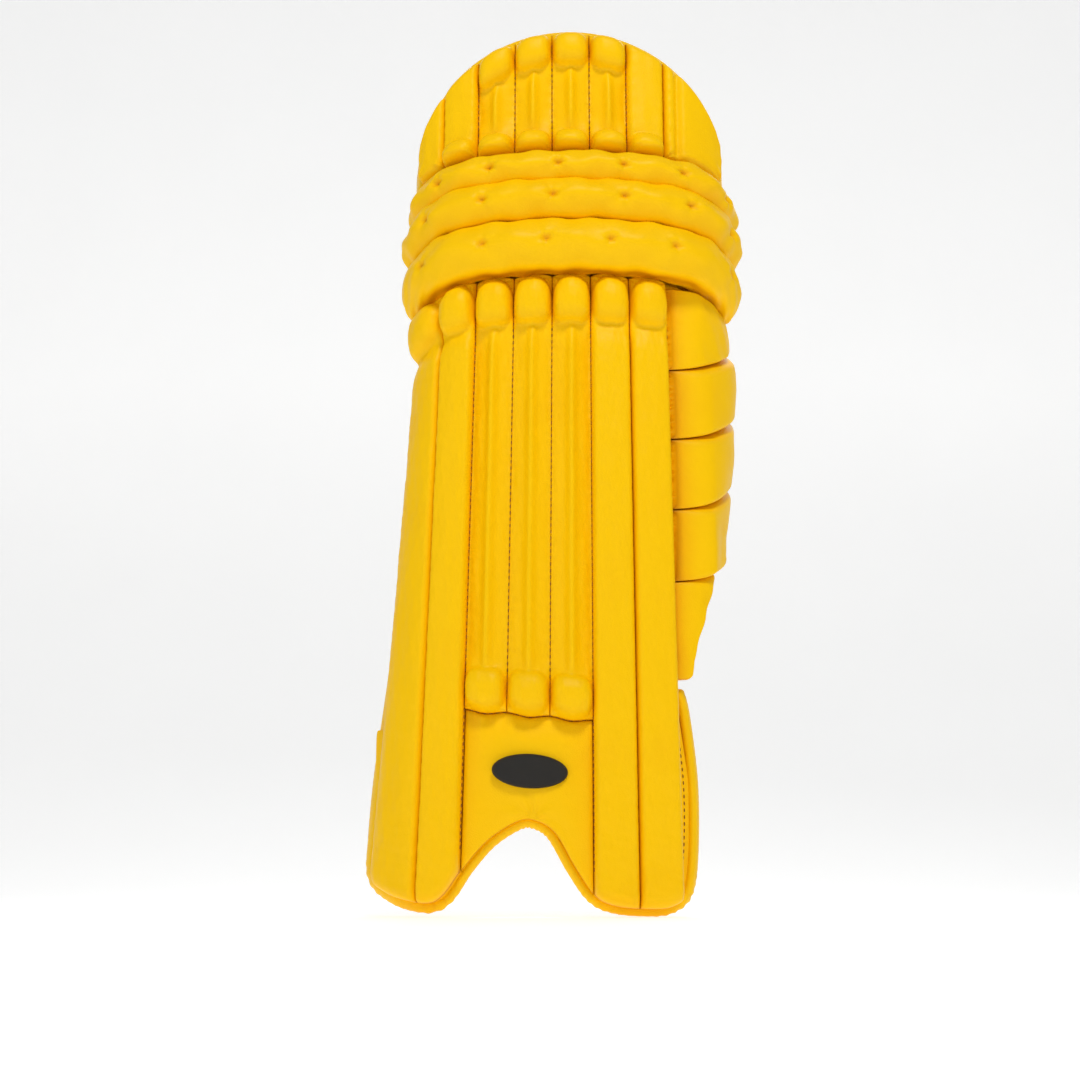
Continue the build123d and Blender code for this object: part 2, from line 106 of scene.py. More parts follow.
def solve_q(place, axis, value, n, z, start):
    """Channel coordinate at which place() reaches a value along an axis, by Newton's method on whole arrays."""
    q = np.full(np.shape(value), float(start))
    for _ in range(14):
        slope = (place(q + 0.02, n, z)[..., axis] - place(q - 0.02, n, z)[..., axis]) / 0.04
        q = q - np.clip((place(q, n, z)[..., axis] - value) / slope, -0.8, 0.8)
    return q


def through(points, per_span=10):
    """Smooth curve through points: Catmull-Rom cubics, with the end points doubled."""
    points = np.asarray(points, float)
    padded = np.vstack([2 * points[0] - points[1], points, 2 * points[-1] - points[-2]])
    t = np.linspace(0, 1, per_span, endpoint=False)[:, None, None]
    a, b, c, d = padded[:-3], padded[1:-2], padded[2:-1], padded[3:]
    curve = 0.5 * (
        2 * b + (c - a) * t + (2 * a - 5 * b + 4 * c - d) * t ** 2 + (3 * b - a - 3 * c + d) * t ** 3)
    return np.vstack([curve.transpose(1, 0, 2).reshape(-1, points.shape[1]), points[-1:]])


def run_along(path):
    """Length along a path up to each of its points."""
    return np.concatenate([[0], np.cumsum(np.linalg.norm(np.diff(path, axis=0), axis=1))])


def crowded(count):
    """Steps from 0 to 1 that crowd towards both ends: half a cosine wave."""
    return 0.5 - 0.5 * np.cos(np.linspace(0, np.pi, count))


def round_off(distance, radius, power=2.0):
    """Edge profile: rises from 0 at the edge to 1 at a radius in from it, along a quarter of a superellipse."""
    inside = np.clip(distance / radius, 0, 1)
    return (1 - (1 - inside) ** power) ** (1 / power)


def meet(a, b, soft):
    """The higher of two surfaces, rounded where they cross."""
    return 0.5 * (a + b + np.sqrt((a - b) ** 2 + soft ** 2))


def ease(x):
    """Smooth step from 0 to 1."""
    x = np.clip(x, 0, 1)
    return x * x * (3 - 2 * x)


def ripple(x, y, seed=0.0):
    """Gentle unevenness of hand-stuffed cloth: four crossing waves, between -1 and 1."""
    return 0.25 * (np.sin(1.3 * x + 2.1 * y + seed) + np.sin(2.7 * x - 1.1 * y + 2.3 * seed)
                   + np.sin(0.6 * x + 3.9 * y - 1.7 * seed) + np.sin(4.1 * x + 0.8 * y + 0.9 * seed))


def skin(name, points, coat, crease=None, uv=None):
    """Mesh of quads between the neighbours of one grid of points or a stack of grids. Points that coincide are
    merged, which closes seams and poles, and faces are turned outwards."""
    grids = points.reshape(-1, *points.shape[-3:])
    count, rows, columns = grids.shape[:3]
    corner = np.arange(rows * columns).reshape(rows, columns)
    quads = np.stack([corner[:-1, :-1], corner[1:, :-1], corner[1:, 1:], corner[:-1, 1:]], -1).reshape(1, -1, 4)
    quads = (quads + np.arange(count)[:, None, None] * rows * columns).reshape(-1, 4)
    mesh = bpy.data.meshes.new(name)
    mesh.vertices.add(count * rows * columns)
    mesh.vertices.foreach_set("co", grids.astype(np.float32).ravel())
    mesh.loops.add(quads.size)
    mesh.loops.foreach_set("vertex_index", quads.astype(np.int32).ravel())
    mesh.polygons.add(len(quads))
    mesh.polygons.foreach_set("loop_start", np.arange(0, quads.size, 4, dtype=np.int32))
    mesh.update(calc_edges=True)
    if uv is not None:
        layer = mesh.uv_layers.new(name="cloth")
        layer.data.foreach_set("uv", uv.reshape(-1, 2)[quads.ravel()].astype(np.float32).ravel())
    # crease holds how much painted shade each point gets in the cloth and cotton materials.
    depth = mesh.attributes.new("crease", "FLOAT", "POINT")
    sunk = np.zeros(len(mesh.vertices)) if crease is None else crease.ravel()
    depth.data.foreach_set("value", sunk.astype(np.float32))
    form = bmesh.new()
    form.from_mesh(mesh)
    bmesh.ops.remove_doubles(form, verts=form.verts, dist=2e-6)
    bmesh.ops.recalc_face_normals(form, faces=form.faces)
    form.to_mesh(mesh)
    form.free()
    mesh.shade_smooth()
    mesh.materials.append(coat)
    piece = bpy.data.objects.new(name, mesh)
    bpy.context.scene.collection.objects.link(piece)
    return piece


def seat(piece, body, node):
    """Fixes a finished piece to the body it moves with, and hides the CAD node it stands for."""
    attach(piece, body)
    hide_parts(node)


def pillow(name, place, q_edges, z_edges, face, back, coat, rows=200, columns=41, sides=(0.0065, 0.0065),
           ends=(0.012, 0.012), seam=None, power=2.3, tint=(1, 1)):
    """A closed stuffed panel. a runs from -1 to 1 between its q edges and b from 0 to 1 between its z edges, both
    closer together near the edges. face(a, q, z, ends) gives n, which is rounded down over a distance from each
    side and end to the depth of the seam, and from there drops straight to the back. tint is how much painted
    shade each side's crease gets: little on a side that lies open."""
    seam = back if seam is None else seam
    a = np.sin(np.linspace(-0.5, 0.5, columns) * np.pi)[None, :]
    b = crowded(rows)[:, None]
    half_width = 0.5 * (q_edges[1] - q_edges[0]) * 0.032
    q = q_edges[0] + (a + 1) / 2 * (q_edges[1] - q_edges[0]) + 0 * b
    low, high = z_edges(a, q)
    z = low + b * (high - low)
    rise = round_off(half_width * (1 + a), sides[0], power) * round_off(half_width * (1 - a), sides[1], power)
    rise = rise * round_off(z - low, ends[0], power) * round_off(high - z, ends[1], power)
    top = face(a + 0 * z, q, z, (z - low, high - z))
    n = np.where(rise < 1e-6, back, seam + (top - seam) * rise)
    rear_a = np.linspace(1, -1, 9)[None, 1:]
    rear_q = q_edges[0] + (rear_a + 1) / 2 * (q_edges[1] - q_edges[0]) + 0 * b
    rear_low, rear_high = z_edges(rear_a, rear_q)
    rear_z = rear_low + b * (rear_high - rear_low)
    points = np.concatenate([place(q, n, z), place(rear_q, back, rear_z)], axis=1)
    # Painted shade: the crease value darkens the cloth where it rounds down into its sides and ends, by tint on
    # each side.
    dark = 0.5 * (tint[0] * (1 - a) + tint[1] * (1 + a))
    crease = np.concatenate([dark * np.where(rise < 1e-6, 0.1, (1 - rise) ** 2.4), 0 * rear_z], axis=1)
    uv = np.stack([np.concatenate([q, rear_q], 1) * 0.031, np.concatenate([z, rear_z], 1)], -1)
    return skin(name, points, coat, crease, uv)


class Wire:
    """One socket in a material's nodes. Arithmetic on it adds Math nodes; add() adds any other node."""

    def __init__(self, tree, socket=None):
        self.tree, self.socket = tree, socket

    def add(self, kind, settings=None, output=0, **inputs):
        """A node of one kind: settings first, then inputs by name, or by number as in i0; gives one output."""
        node = self.tree.nodes.new("ShaderNode" + kind)
        for key, value in (settings or {}).items():
            setattr(node, key, value)
        for key, value in inputs.items():
            number = key[0] == "i" and key[1:].isdigit()
            socket = node.inputs[int(key[1:])] if number else node.inputs[key.replace("_", " ")]
            if isinstance(value, Wire):
                self.tree.links.new(value.socket, socket)
            else:
                socket.default_value = value
        return None if output is None else Wire(self.tree, node.outputs[output])

    def maths(self, operation, *others):
        return self.add("Math", {"operation": operation}, **{f"i{k}": v for k, v in enumerate((self, *others))})

    def __add__(self, other):
        return self.maths("ADD", other)

    __radd__ = __add__

    def __mul__(self, other):
        return self.maths("MULTIPLY", other)

    __rmul__ = __mul__

    def __sub__(self, other):
        return self.maths("SUBTRACT", other)

    def __rsub__(self, other):
        return self.add("Math", {"operation": "SUBTRACT"}, i0=other, i1=self)

    def clamp(self):
        return self.add("Clamp", Value=self)

    def between(self, low, high):
        """0 below low, 1 above high, and smooth between."""
        settings = {"interpolation_type": "SMOOTHSTEP"}
        return self.add("MapRange", settings, Value=self, From_Min=low, From_Max=high)

    def blend(self, first, second):
        """Colour between two colours, by this value."""
        return self.add("Mix", {"data_type": "RGBA"}, output=2, i0=self, i6=first, i7=second)


def srgb(red, green, blue):
    """Colour given in display values from 0 to 255, made linear."""
    values = np.array([red, green, blue]) / 255
    return (*np.where(values < 0.04045, values / 12.92, ((values + 0.055) / 1.055) ** 2.4).tolist(), 1.0)


def new_coat(name):
    """An empty material and a wire to build its nodes with."""
    coat = bpy.data.materials.new(name)
    coat.use_nodes = True
    coat.node_tree.nodes.clear()
    return coat, Wire(coat.node_tree)


def close_coat(wire, colour, rough, height, depth, **constants):
    """Ends a material in one Principled shader, with its bump height in metres times depth."""
    normal = wire.add("Bump", Height=height, Distance=depth, Strength=1.0)
    shader = wire.add("BsdfPrincipled", Base_Color=colour, Roughness=rough, Normal=normal, **constants)
    wire.add("OutputMaterial", Surface=shader, output=None)


def coated_cloth(name, lit, mottled_and_shaded, painted_crease_shade, rough=0.40):
    """Smooth coated cloth: pebbled grain, faint mottling, and painted shade, warmer and darker, down in its
    creases.
    """
    coat, wire = new_coat(name)
    here = wire.add("TexCoord", output=3)
    grain = wire.add("TexNoise", Vector=here, Scale=1500.0, Detail=2.0, Roughness=0.6)
    pebble = wire.add("TexVoronoi", {"feature": "SMOOTH_F1"}, Vector=here, Scale=1100.0)
    mottle = wire.add("TexNoise", Vector=here, Scale=22.0, Detail=3.0, Roughness=0.55)
    drape = wire.add("TexNoise", Vector=here, Scale=70.0, Detail=2.0)
    crease = wire.add("Attribute", {"attribute_name": "crease"}, output=2)
    # Painted shade: the crease value darkens the yellow towards the shaded colour, and in the deepest creases
    # towards a red-brown painted shade; mottling and grain vary the tone at random.
    tone = (mottle - 0.5) * 0.5 + (grain - 0.5) * 0.22 + crease.between(0.02, 0.75) * 0.85
    colour = tone.clamp().blend(lit, mottled_and_shaded)
    colour = (crease.between(0.45, 1.0) * 0.9).blend(colour, painted_crease_shade)
    shine = (mottle - 0.5) * 0.14 + (grain - 0.5) * 0.10 + rough
    height = grain * 0.35 + pebble * 0.65 + drape * 1.6
    close_coat(wire, colour, shine, height, 0.00022, Specular_IOR_Level=0.12)
    return coat


# Lit yellow, the painted shaded yellow that the mottling also uses, and the red-brown painted shade of the deepest
# creases.
yellow_cloth = coated_cloth("yellow_coated_cloth", srgb(255, 202, 0), srgb(244, 172, 0), srgb(156, 76, 0))


def coat_thread(name, colour_a, colour_b):
    """Twisted sewing thread: fine bands across its length and a dull sheen."""
    coat, wire = new_coat(name)
    here = wire.add("TexCoord", output=3)
    twist = wire.add("TexWave", {"wave_type": "BANDS", "bands_direction": "DIAGONAL"}, Vector=here, Scale=900.0)
    speck = wire.add("TexNoise", Vector=here, Scale=400.0)
    colour = (twist * 0.6 + speck * 0.4).clamp().blend(colour_a, colour_b)
    close_coat(wire, colour, speck * 0.2 + 0.5, twist, 0.0001)
    return coat


brown_thread = coat_thread("brown_thread", srgb(112, 52, 6), srgb(160, 88, 14))


def stitches(name, path, outwards, body, coat, length=0.0030, gap=0.0021, radius=0.00048):
    """A row of stitches: capsules spaced evenly along a path, thickest in their middle and sunk at both ends."""
    run = run_along(path)
    middle = np.arange(gap + length / 2, run[-1] - length / 2, length + gap)

    def at(s, values):
        return np.stack([np.interp(s, run, values[:, k]) for k in range(3)], -1)

    ahead = at(middle + length / 2, path) - at(middle - length / 2, path)
    ahead /= np.linalg.norm(ahead, axis=1, keepdims=True)
    up = at(middle, outwards)
    side = np.cross(ahead, up)
    side /= np.linalg.norm(side, axis=1, keepdims=True)
    up = np.cross(side, ahead)
    t = np.array([-1, -0.8, 0, 0.8, 1.0])[None, :, None, None]
    thick = radius * np.array([0, 0.8, 1, 0.8, 0])[None, :, None, None]
    turn = np.linspace(0, 2 * np.pi, 7)[None, None, :, None]
    ring = np.cos(turn) * up[:, None, None, :] + np.sin(turn) * side[:, None, None, :]
    sink = -0.6 * radius * t ** 2 * up[:, None, None, :]
    points = at(middle, path)[:, None, None, :] + t * length / 2 * ahead[:, None, None, :] + thick * ring + sink
    row = skin(name, points, coat)
    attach(row, body)
    return row


def facing(place, q, n, z):
    """Outward direction of a shell, from two points a millimetre apart."""
    out = place(q, np.asarray(n) + 0.001, z) - place(q, n, z)
    return out / np.linalg.norm(out, axis=-1, keepdims=True)


def swelling(a, z, centre, half_height, base, height, width=0.97):
    """A round stuffed end: a superellipsoid over half width and half height, sinking away outside them."""
    reach = (np.abs(a) / width) ** 2.6 + (np.abs(z - centre) / half_height) ** 2.4
    return base + height * np.where(reach < 1, np.sqrt(np.maximum(1 - reach, 0)), -0.8 * (reach - 1))


def fan_folds(a, down, half_width, seed):
    """Folds fanning out from the two top corners of a channel, where the cloth is gathered into the seam."""
    folds = 0
    for corner in (-1, 1):
        across = np.abs(a - corner) * half_width + 0.0005
        angle, reach = np.arctan2(down, across), np.hypot(down, across)
        folds = folds + np.sin(angle * 10 + seed + corner) * np.exp(-reach / 0.010) * ease(reach / 0.004)
    return folds


def pucker(a, z, seed):
    """Small pulls at both side seams, every 11 mm or so, fading towards the middle."""
    pulls = np.sin(z * 560 + 2.5 * np.sin(z * 41 + seed) + 1.3 * np.sign(a))
    return pulls * np.exp(-(1 - np.abs(a)) / 0.22)


def ridged(a):
    """Cloth drawn in either side of a cane: two hollow slopes and a soft crest."""
    return -0.0042 - 0.0068 * np.sqrt(a ** 2 + 0.01) ** 1.1 + 0.0042 * np.exp(-(a / 0.23) ** 2)


def front_depth(q):
    """Depth of the channel faces behind the foremost one, at the knee."""
    return on_section(KNEE, q, 0.0, 0.5)[..., 1]


FOOT_EDGE = [
    (-0.110, 0.150), (-0.115, 0.105), (-0.118, 0.057), (-0.1175, 0.032), (-0.104, 0.020), (-0.086, 0.0135),
    (-0.073, 0.0125), (-0.063, 0.0195), (-0.050, 0.038), (-0.032, 0.058), (-0.010, 0.0715), (0.004, 0.0715),
    (0.018, 0.062), (0.033, 0.0365), (0.047, 0.017), (0.062, 0.010), (0.084, 0.008), (0.102, 0.0095),
    (0.114, 0.020), (0.1185, 0.050), (0.119, 0.100), (0.112, 0.150),
]  # x and z of the board's sewn edge, from the inner ankle down, round both feet and up to the wing
foot_edge = through(FOOT_EDGE)


def foot_line(n):
    """The sewn edge of the feet as q and z at depth n."""
    x, z = foot_edge[np.argmin(foot_edge[:, 0]):np.argmax(foot_edge[:, 0]) + 1].T
    return solve_q(on_shin, 0, x, n, z, 3.5), z


def foot_height(q, n):
    """Height of the sewn edge at channel coordinate q."""
    line_q, line_z = foot_line(n)
    return np.interp(q, line_q, line_z)


def instep_seam(q):
    """Height of the seam between the middle channels and the instep. It falls towards the outside, and dips
    under each channel's round end."""
    return 0.1535 - 0.0030 * (q - 2) - 0.0022 * np.sin(np.pi * np.asarray(q)) ** 2


SEAM_DEPTH = -0.0092
SEAM_ROUND = 0.0048
FOOT_DEPTH = -0.016
FOOT_OVERHANG = 0.0025
THREAD_TOP = 0.484

for number in range(7):
    middle_channel = number in (2, 3, 4)

    def channel_ends(a, q):
        """From the instep's seam or the foot's binding up to a slanting top, bowed across each channel."""
        high = SHIN_TOP - TOP_FALL * front_depth(q) + 0.0032 * (1 - a ** 2)
        low = instep_seam(q) if middle_channel else foot_height(q, FOOT_DEPTH) - FOOT_OVERHANG
        return low, high

    def channel_face(a, q, z, ends):
        """Ridge or flat face, met by a round swelling at the top and, for the middle channels, at the foot."""
        up, down = ends
        if middle_channel:
            share = ease((up - 0.016) / 0.034) * ease((down - 0.032) / 0.034)
            n = share * ridged(a) + (1 - share) * (-0.0062 + 0.0012 * (1 - a ** 2))
            n = meet(n, swelling(a, up, 0.0165, 0.0175, -0.006, 0.0115), 0.003)
        else:
            n = 0.0009 * (1 - a ** 2) - 0.0042 * np.exp(-((down - 0.043) / 0.010) ** 2)
            n = n - 0.004 * ease(1 - down / 0.030)
        n = meet(n, swelling(a, down, 0.0235, 0.0195, -0.0050, 0.0145, width=1.0), 0.0016)
        n = n + 0.0009 * fan_folds(a, down, 0.0155, 1.7 * number) + 0.00045 * pucker(a, z, number)
        return n + 0.00045 * ripple(a * 2, z * 60, number) + 0.00025 * ripple(a * 5, z * 210, 2 + number)

    channel = pillow(
        f"shin_channel_{number + 1}_cover", on_shin, (number + 0.004 if number else -0.50, number + 0.996),
        channel_ends, channel_face, -FACE_DEPTH, yellow_cloth, rows=240, columns=41 if number else 57,
        sides=(SEAM_ROUND if number else 0.020, SEAM_ROUND), ends=(0.010, 0.012), seam=SEAM_DEPTH,
        tint=(1 if number else 0, 0.6 if number == 6 else 1))
    seat(channel, "shin", f"shin_channel_{number + 1}")

for seam in range(1, 8):
    low = 0.158 if seam in (3, 4) else float(foot_height(seam, FOOT_DEPTH)) + 0.012
    z = np.linspace(low, THREAD_TOP - TOP_FALL * front_depth(float(seam)), 120)
    sunk = SEAM_DEPTH + 0.0008
    stitches(f"channel_seam_{seam}_stitches", on_shin(seam, sunk, z), facing(on_shin, seam, sunk, z), "shin",
             brown_thread)

# ---- Instep --------------------------------------------------------------------------------------------------
# One softly filled panel of the same cloth below the middle channels, cut to the arch over the boot. Its upper
# edge is gathered into the seam, and the binding pulls it to a pinch above the arch.
ARCH_Q = 3.62
INSTEP_THREAD = -0.0108


def instep_face(a, q, z, ends):
    """A low pillow with gathers that fade downwards from the seam and a star of folds above the arch."""
    up, down = ends
    gathers = np.sin(q * 12 + 3 * np.sin(q * 2.3)) * np.exp(-down / 0.011)
    gathers = gathers + 0.8 * np.sin(q * 7.3 + 1 + z * 60) * np.exp(-down / 0.024)
    across = (q - ARCH_Q) * 0.033
    reach = np.hypot(across, up)
    pinch = np.sin(10 * np.arctan2(up, across)) * np.exp(-reach / 0.017) * ease(reach / 0.006)
    sag = 0.0026 * (1 - a ** 2) * ease(up / 0.035) * ease(down / 0.020)
    return -0.0112 + sag + 0.0008 * gathers + 0.0011 * pinch + 0.0005 * ripple(q * 1.6, z * 45, 4)


def instep_ends(a, q):
    """From just over the arch's binding to just under the seam."""
    return foot_height(q, FOOT_DEPTH) - 0.0020, instep_seam(q) - 0.0004 + 0 * a


instep = pillow(
    "instep_cover", on_shin, (2.008, 4.992), instep_ends, instep_face, -FACE_DEPTH, yellow_cloth,
    rows=120, columns=121, sides=(0.0050, 0.0050), ends=(0.009, 0.005), seam=-0.0130)
seat(instep, "shin", "instep_panel")

q = np.linspace(2.05, 4.95, 140)
seam_line = q, INSTEP_THREAD, instep_seam(q)
stitches("instep_seam_stitches", on_shin(*seam_line), facing(on_shin, *seam_line), "shin", brown_thread)


def satin_stitch(name, colour_a, colour_b):
    """Dense embroidery: fine parallel threads along the piece's own map, with a soft silky sheen."""
    coat, wire = new_coat(name)
    across = wire.add("UVMap", {"uv_map": "cloth"})
    thread = wire.add("TexWave", {"wave_type": "BANDS", "bands_direction": "X"}, Vector=across, Scale=640.0,
                      Distortion=1.2, Detail=1.0)
    speck = wire.add("TexNoise", Vector=wire.add("TexCoord", output=3), Scale=500.0)
    colour = (thread * 0.7 + speck * 0.3).clamp().blend(colour_a, colour_b)
    close_coat(wire, colour, thread * 0.15 + 0.38, thread, 0.00025)
    return coat


black_embroidery = satin_stitch("black_embroidery", srgb(16, 15, 14), srgb(46, 44, 41))
BADGE_TILT = math.radians(-3)


def badge_disc(name, half_width, half_height, rim, lift):
    """An oval patch: rings from the middle out, nearly flat and then rounded down over its rim."""
    low, high = (np.array(corner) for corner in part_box("instep_badge"))
    middle = (low + high) / 2
    ring = np.linspace(0, 1, 26)[:, None]
    turn = np.linspace(0, 2 * np.pi, 97)[None, :]
    x, z = half_width * ring * np.cos(turn), half_height * ring * np.sin(turn)
    level, rise = math.cos(BADGE_TILT), math.sin(BADGE_TILT)
    x, z = x * level - z * rise, x * rise + z * level
    thick = (high[1] - low[1] + lift) * (0.15 + 0.85 * round_off((1 - ring) * half_height, rim)) + 0 * turn
    thick = np.where(ring == 1, 0, thick)
    front = np.stack([middle[0] + x, high[1] - thick, middle[2] + z], -1)
    rear = np.stack([front[::-1, :, 0], np.full(x.shape, high[1] + 0.0015), front[::-1, :, 2]], -1)
    points = np.concatenate([front, rear[1:]])
    uv = np.concatenate([np.stack([x + z * 0.3, z], -1), np.stack([x, z], -1)[::-1][1:]])
    return skin(name, points, black_embroidery, uv=uv)


badge = badge_disc("instep_badge_patch", 0.0285, 0.0128, 0.0022, 0.0004)
seat(badge, "shin", "instep_badge")

# ---- Bindings ------------------------------------------------------------------------------------------------
# The board's raw edges are wrapped in a rolled strip of the cloth, stitched through just inside the edge. It is
# gathered where it turns tightly, above the arch and round both feet.
BINDING = 0.0080


def outline_normals(line):
    """Directions square to an outline in its own plane, outwards when it runs with the pad on its left."""
    ahead = np.gradient(line, axis=0)
    ahead /= np.linalg.norm(ahead, axis=1, keepdims=True)
    return np.stack([ahead[:, 1], -ahead[:, 0]], -1)


def binding(name, place, axis, line, start_q, depth=(-0.0178, -0.0308), width=BINDING, gathers=0.5,
            least_q=-3.0):
    """A rolled edge: an oval tube carried along an outline given in z and one other axis, wrapped onto the shell
    no nearer its inner edge than least_q. The tube lies outside the outline, and folds across it deepen where the
    outline turns."""
    normals = outline_normals(line)
    steps = run_along(line)
    bend = np.linalg.norm(np.gradient(normals, axis=0), axis=1) / np.gradient(steps)
    bend = np.convolve(np.pad(bend, 6, mode="edge"), np.ones(13) / 13, mode="valid")
    fold = np.sin(steps * 1100 + 2 * np.sin(steps * 90)) * np.clip(bend * 0.020, 0.10, 1) * gathers * 0.00045
    turn = np.linspace(0, 2 * np.pi, 21)[None, :]
    close = round_off(np.minimum(steps, steps[-1] - steps), 0.004)[:, None]
    width = width * np.ones(len(steps))[:, None]
    out = width / 2 - 0.0006 + (width / 2 + 0.0006 + fold[:, None]) * close * np.cos(turn)
    n = np.mean(depth) + (depth[0] - depth[1]) / 2 * close * np.sin(turn) + 0 * out
    flat = line[:, None, :] + out[..., None] * normals[:, None, :]
    q = np.maximum(solve_q(place, axis, flat[..., 0], n, flat[..., 1], start_q), least_q)
    points = place(q, n, flat[..., 1])
    # Painted shade on the inner side of the roll, where it turns in against the board, and in the hollows of the
    # gathers.
    crease = np.clip(-np.cos(turn) - 0.80, 0, 1) * 3 + np.clip(-fold[:, None] * 700, 0, 0.30)
    return skin(name, points, yellow_cloth, crease)


def evenly(line, spacing):
    """The same curve with its points spaced evenly."""
    run = run_along(line)
    at = np.linspace(0, run[-1], int(run[-1] / spacing))
    return np.stack([np.interp(at, run, line[:, k]) for k in range(2)], -1)


INNER_RISE = [(-0.1010, 0.225), (-0.1050, 0.188), (-0.1090, 0.155)]
OUTER_RISE = [(0.1135, 0.150), (0.1085, 0.170)]
foot_binding_line = evenly(through(INNER_RISE + FOOT_EDGE[1:-1] + OUTER_RISE, 40), 0.0010)
inner_foot = ease((-0.050 - foot_binding_line[:, :1]) / 0.050)
foot_binding = binding("foot_binding", on_shin, 0, foot_binding_line, 3.5, width=BINDING + 0.0030 * inner_foot,
                       gathers=1.0)
seat(foot_binding, "shin", "shin_piping")

THREAD_INSET = 0.0042
inside = foot_binding_line - THREAD_INSET * outline_normals(foot_binding_line)
for name, part in (("inner", inside[:, 0] < -0.085), ("outer", inside[:, 0] > 0.101)):
    x, z = inside[part].T
    q = solve_q(on_shin, 0, x, BOARD_FACE, z, 3.5)
    stitches(f"{name}_foot_stitches", on_shin(q, BOARD_FACE + 0.0002, z), facing(on_shin, q, BOARD_FACE, z),
             "shin", brown_thread)

# ---- Knee rolls ----------------------------------------------------------------------------------------------
# Three long rolls of the cloth, filled with foam, sewn side by side across the knee and falling towards the
# leg. Buttons of thread pull the filling in along each roll, and the cloth is drawn up at the ends.
ROLLS = {
    "lower": (0.5170, 0.0218, 0.0215),
    "middle": (0.5553, 0.0182, 0.0205),
    "upper": (0.5836, 0.0146, 0.0190),
}  # height of the middle line at the front, half height and half thickness
TUFTS = {
    "lower": (-0.114, -0.067, -0.019, 0.029, 0.078, 0.126),
    "middle": (-0.112, -0.068, -0.014, 0.040, 0.090, 0.130),
    "upper": (-0.104, -0.063, -0.010, 0.040, 0.086, 0.128),
}  # places of the buttons along each roll, from its middle
ROLL_END = 0.166
ROLL_THINNING = {"lower": (0.28, 0.22), "middle": (0.22, 0.13), "upper": (0.30, 0.12)}
ROLL_FALL = 0.335
CORE = 0.82


def coat_foam():
    """Pale closed-cell foam: small round cells and a faint tint."""
    coat, wire = new_coat("pale_foam")
    here = wire.add("TexCoord", output=3)
    cells = wire.add("TexVoronoi", Vector=here, Scale=700.0)
    cloud = wire.add("TexNoise", Vector=here, Scale=30.0)
    colour = (cells * 0.6 + cloud * 0.5).clamp().blend(srgb(206, 200, 184), srgb(236, 232, 220))
    close_coat(wire, colour, cloud * 0.1 + 0.8, cells, 0.0004)
    return coat


pale_foam = coat_foam()


def roll_skin(name, seed, shrink, coat):
    """An oval tube along the knee section whose ends are rounded shut. Each tuft is a round dent with creases
    fanning out of it, and slanting folds deepen towards the ends. shrink below 1 gives the core inside."""
    height, half_height, thick = ROLLS[name]
    half_height = half_height * shrink
    u = ROLL_END * np.sin(np.linspace(-0.5, 0.5, 331) * np.pi)[:, None]
    turn = np.linspace(-np.pi, np.pi, 73)[None, :]
    thinning = np.where(u < 0, *ROLL_THINNING[name])
    thickness = thick * (1 - thinning * np.maximum(0, (np.abs(u) - 0.060) / 0.106) ** 1.3)
    close = round_off(ROLL_END - np.abs(u), 0.016, 2.3)
    arc = turn * half_height
    reach = np.abs(u) / ROLL_END
    fade = ease((1 - reach) / 0.10)
    slant = u * 330 * (1 + 0.2 * np.sin(turn + seed)) + 2.6 * turn * np.sign(u)
    folds = 0.0009 * np.sin(slant + seed) * reach ** 3
    folds = folds + 0.0005 * np.sin(u * 150 + 3.1 * turn + 2 * seed)
    folds = folds + 0.0004 * np.sin(u * 260 - 2.2 * turn + seed)
    dents = 0
    for at in TUFTS[name]:
        away = np.hypot(u - at, arc * 1.05)
        spoke = np.arctan2(arc, u - at + 1e-9)
        dents = dents - 0.0042 * np.exp(-(away / 0.0038) ** 2) - 0.0014 * np.exp(-(away / 0.011) ** 2)
        dents = dents + 0.0007 * np.sin(5 * spoke + seed + 50 * at) * np.exp(-away / 0.010) * ease(away / 0.004)
    swell = 1 + (dents + folds) * fade / half_height
    depth = -0.0196 + thickness
    y = section(KNEE, u, depth)[1]
    square = 1 + 0.05 * np.cos(4 * turn)
    n = depth + thickness * shrink * close * np.cos(turn) * swell * square
    z = height - ROLL_FALL * y + half_height * close * np.sin(turn) * swell * (2 - square)
    x, y = section(KNEE, u + 0 * turn, n)
    # Painted shade: darker in the tuft dents, and along the roll's top and bottom where it meets its neighbours,
    # fading out near the ends.
    crease = np.clip(-dents * 150 - 0.15, 0, 0.9)
    crease = crease + np.clip(np.abs(np.sin(turn)) - 0.90, 0, 1) * 7 * ease((0.93 - reach) / 0.15)
    part = "cover" if shrink == 1 else "foam"
    return skin(f"knee_roll_{name}_{part}", np.stack([x, y, z], -1), coat, np.clip(crease, 0, 1))


for number, name in enumerate(ROLLS):
    roll = roll_skin(name, 1.9 * number + 0.7, 1, yellow_cloth)
    seat(roll, "knee", f"knee_roll_{name}")
    core = roll_skin(name, 1.9 * number + 0.7, CORE, pale_foam)
    seat(core, "knee", f"knee_roll_{name}_core")

for name, z, n in (("lower", 0.5383, -0.0075), ("upper", 0.5719, -0.0078)):
    u = np.linspace(-0.150, 0.150, 220)
    x, y = section(KNEE, u, n)
    out_x, out_y = section(KNEE, u, n + 0.001)
    line = np.stack([x, y, z - ROLL_FALL * y], -1)
    out = np.stack([out_x - x, out_y - y, 0 * x], -1) * 1000
    stitches(f"roll_seam_{name}_stitches", line, out, "knee", brown_thread)


def on_knee(q, n, z):
    """Points of the knee's shell, which is upright."""
    return on_section(KNEE, q, n, z)


def on_hat(q, n, z):
    """Points of the top hat's shell, which is upright and opens wider."""
    return on_section(HAT, q, n, z)


def capped(points):
    """The rows after one drawn together at the middle of the first, which closes that end."""
    return np.concatenate([np.repeat(points[:1].mean(1, keepdims=True), points.shape[1], 1), points])


CREASE_FALL = 0.34


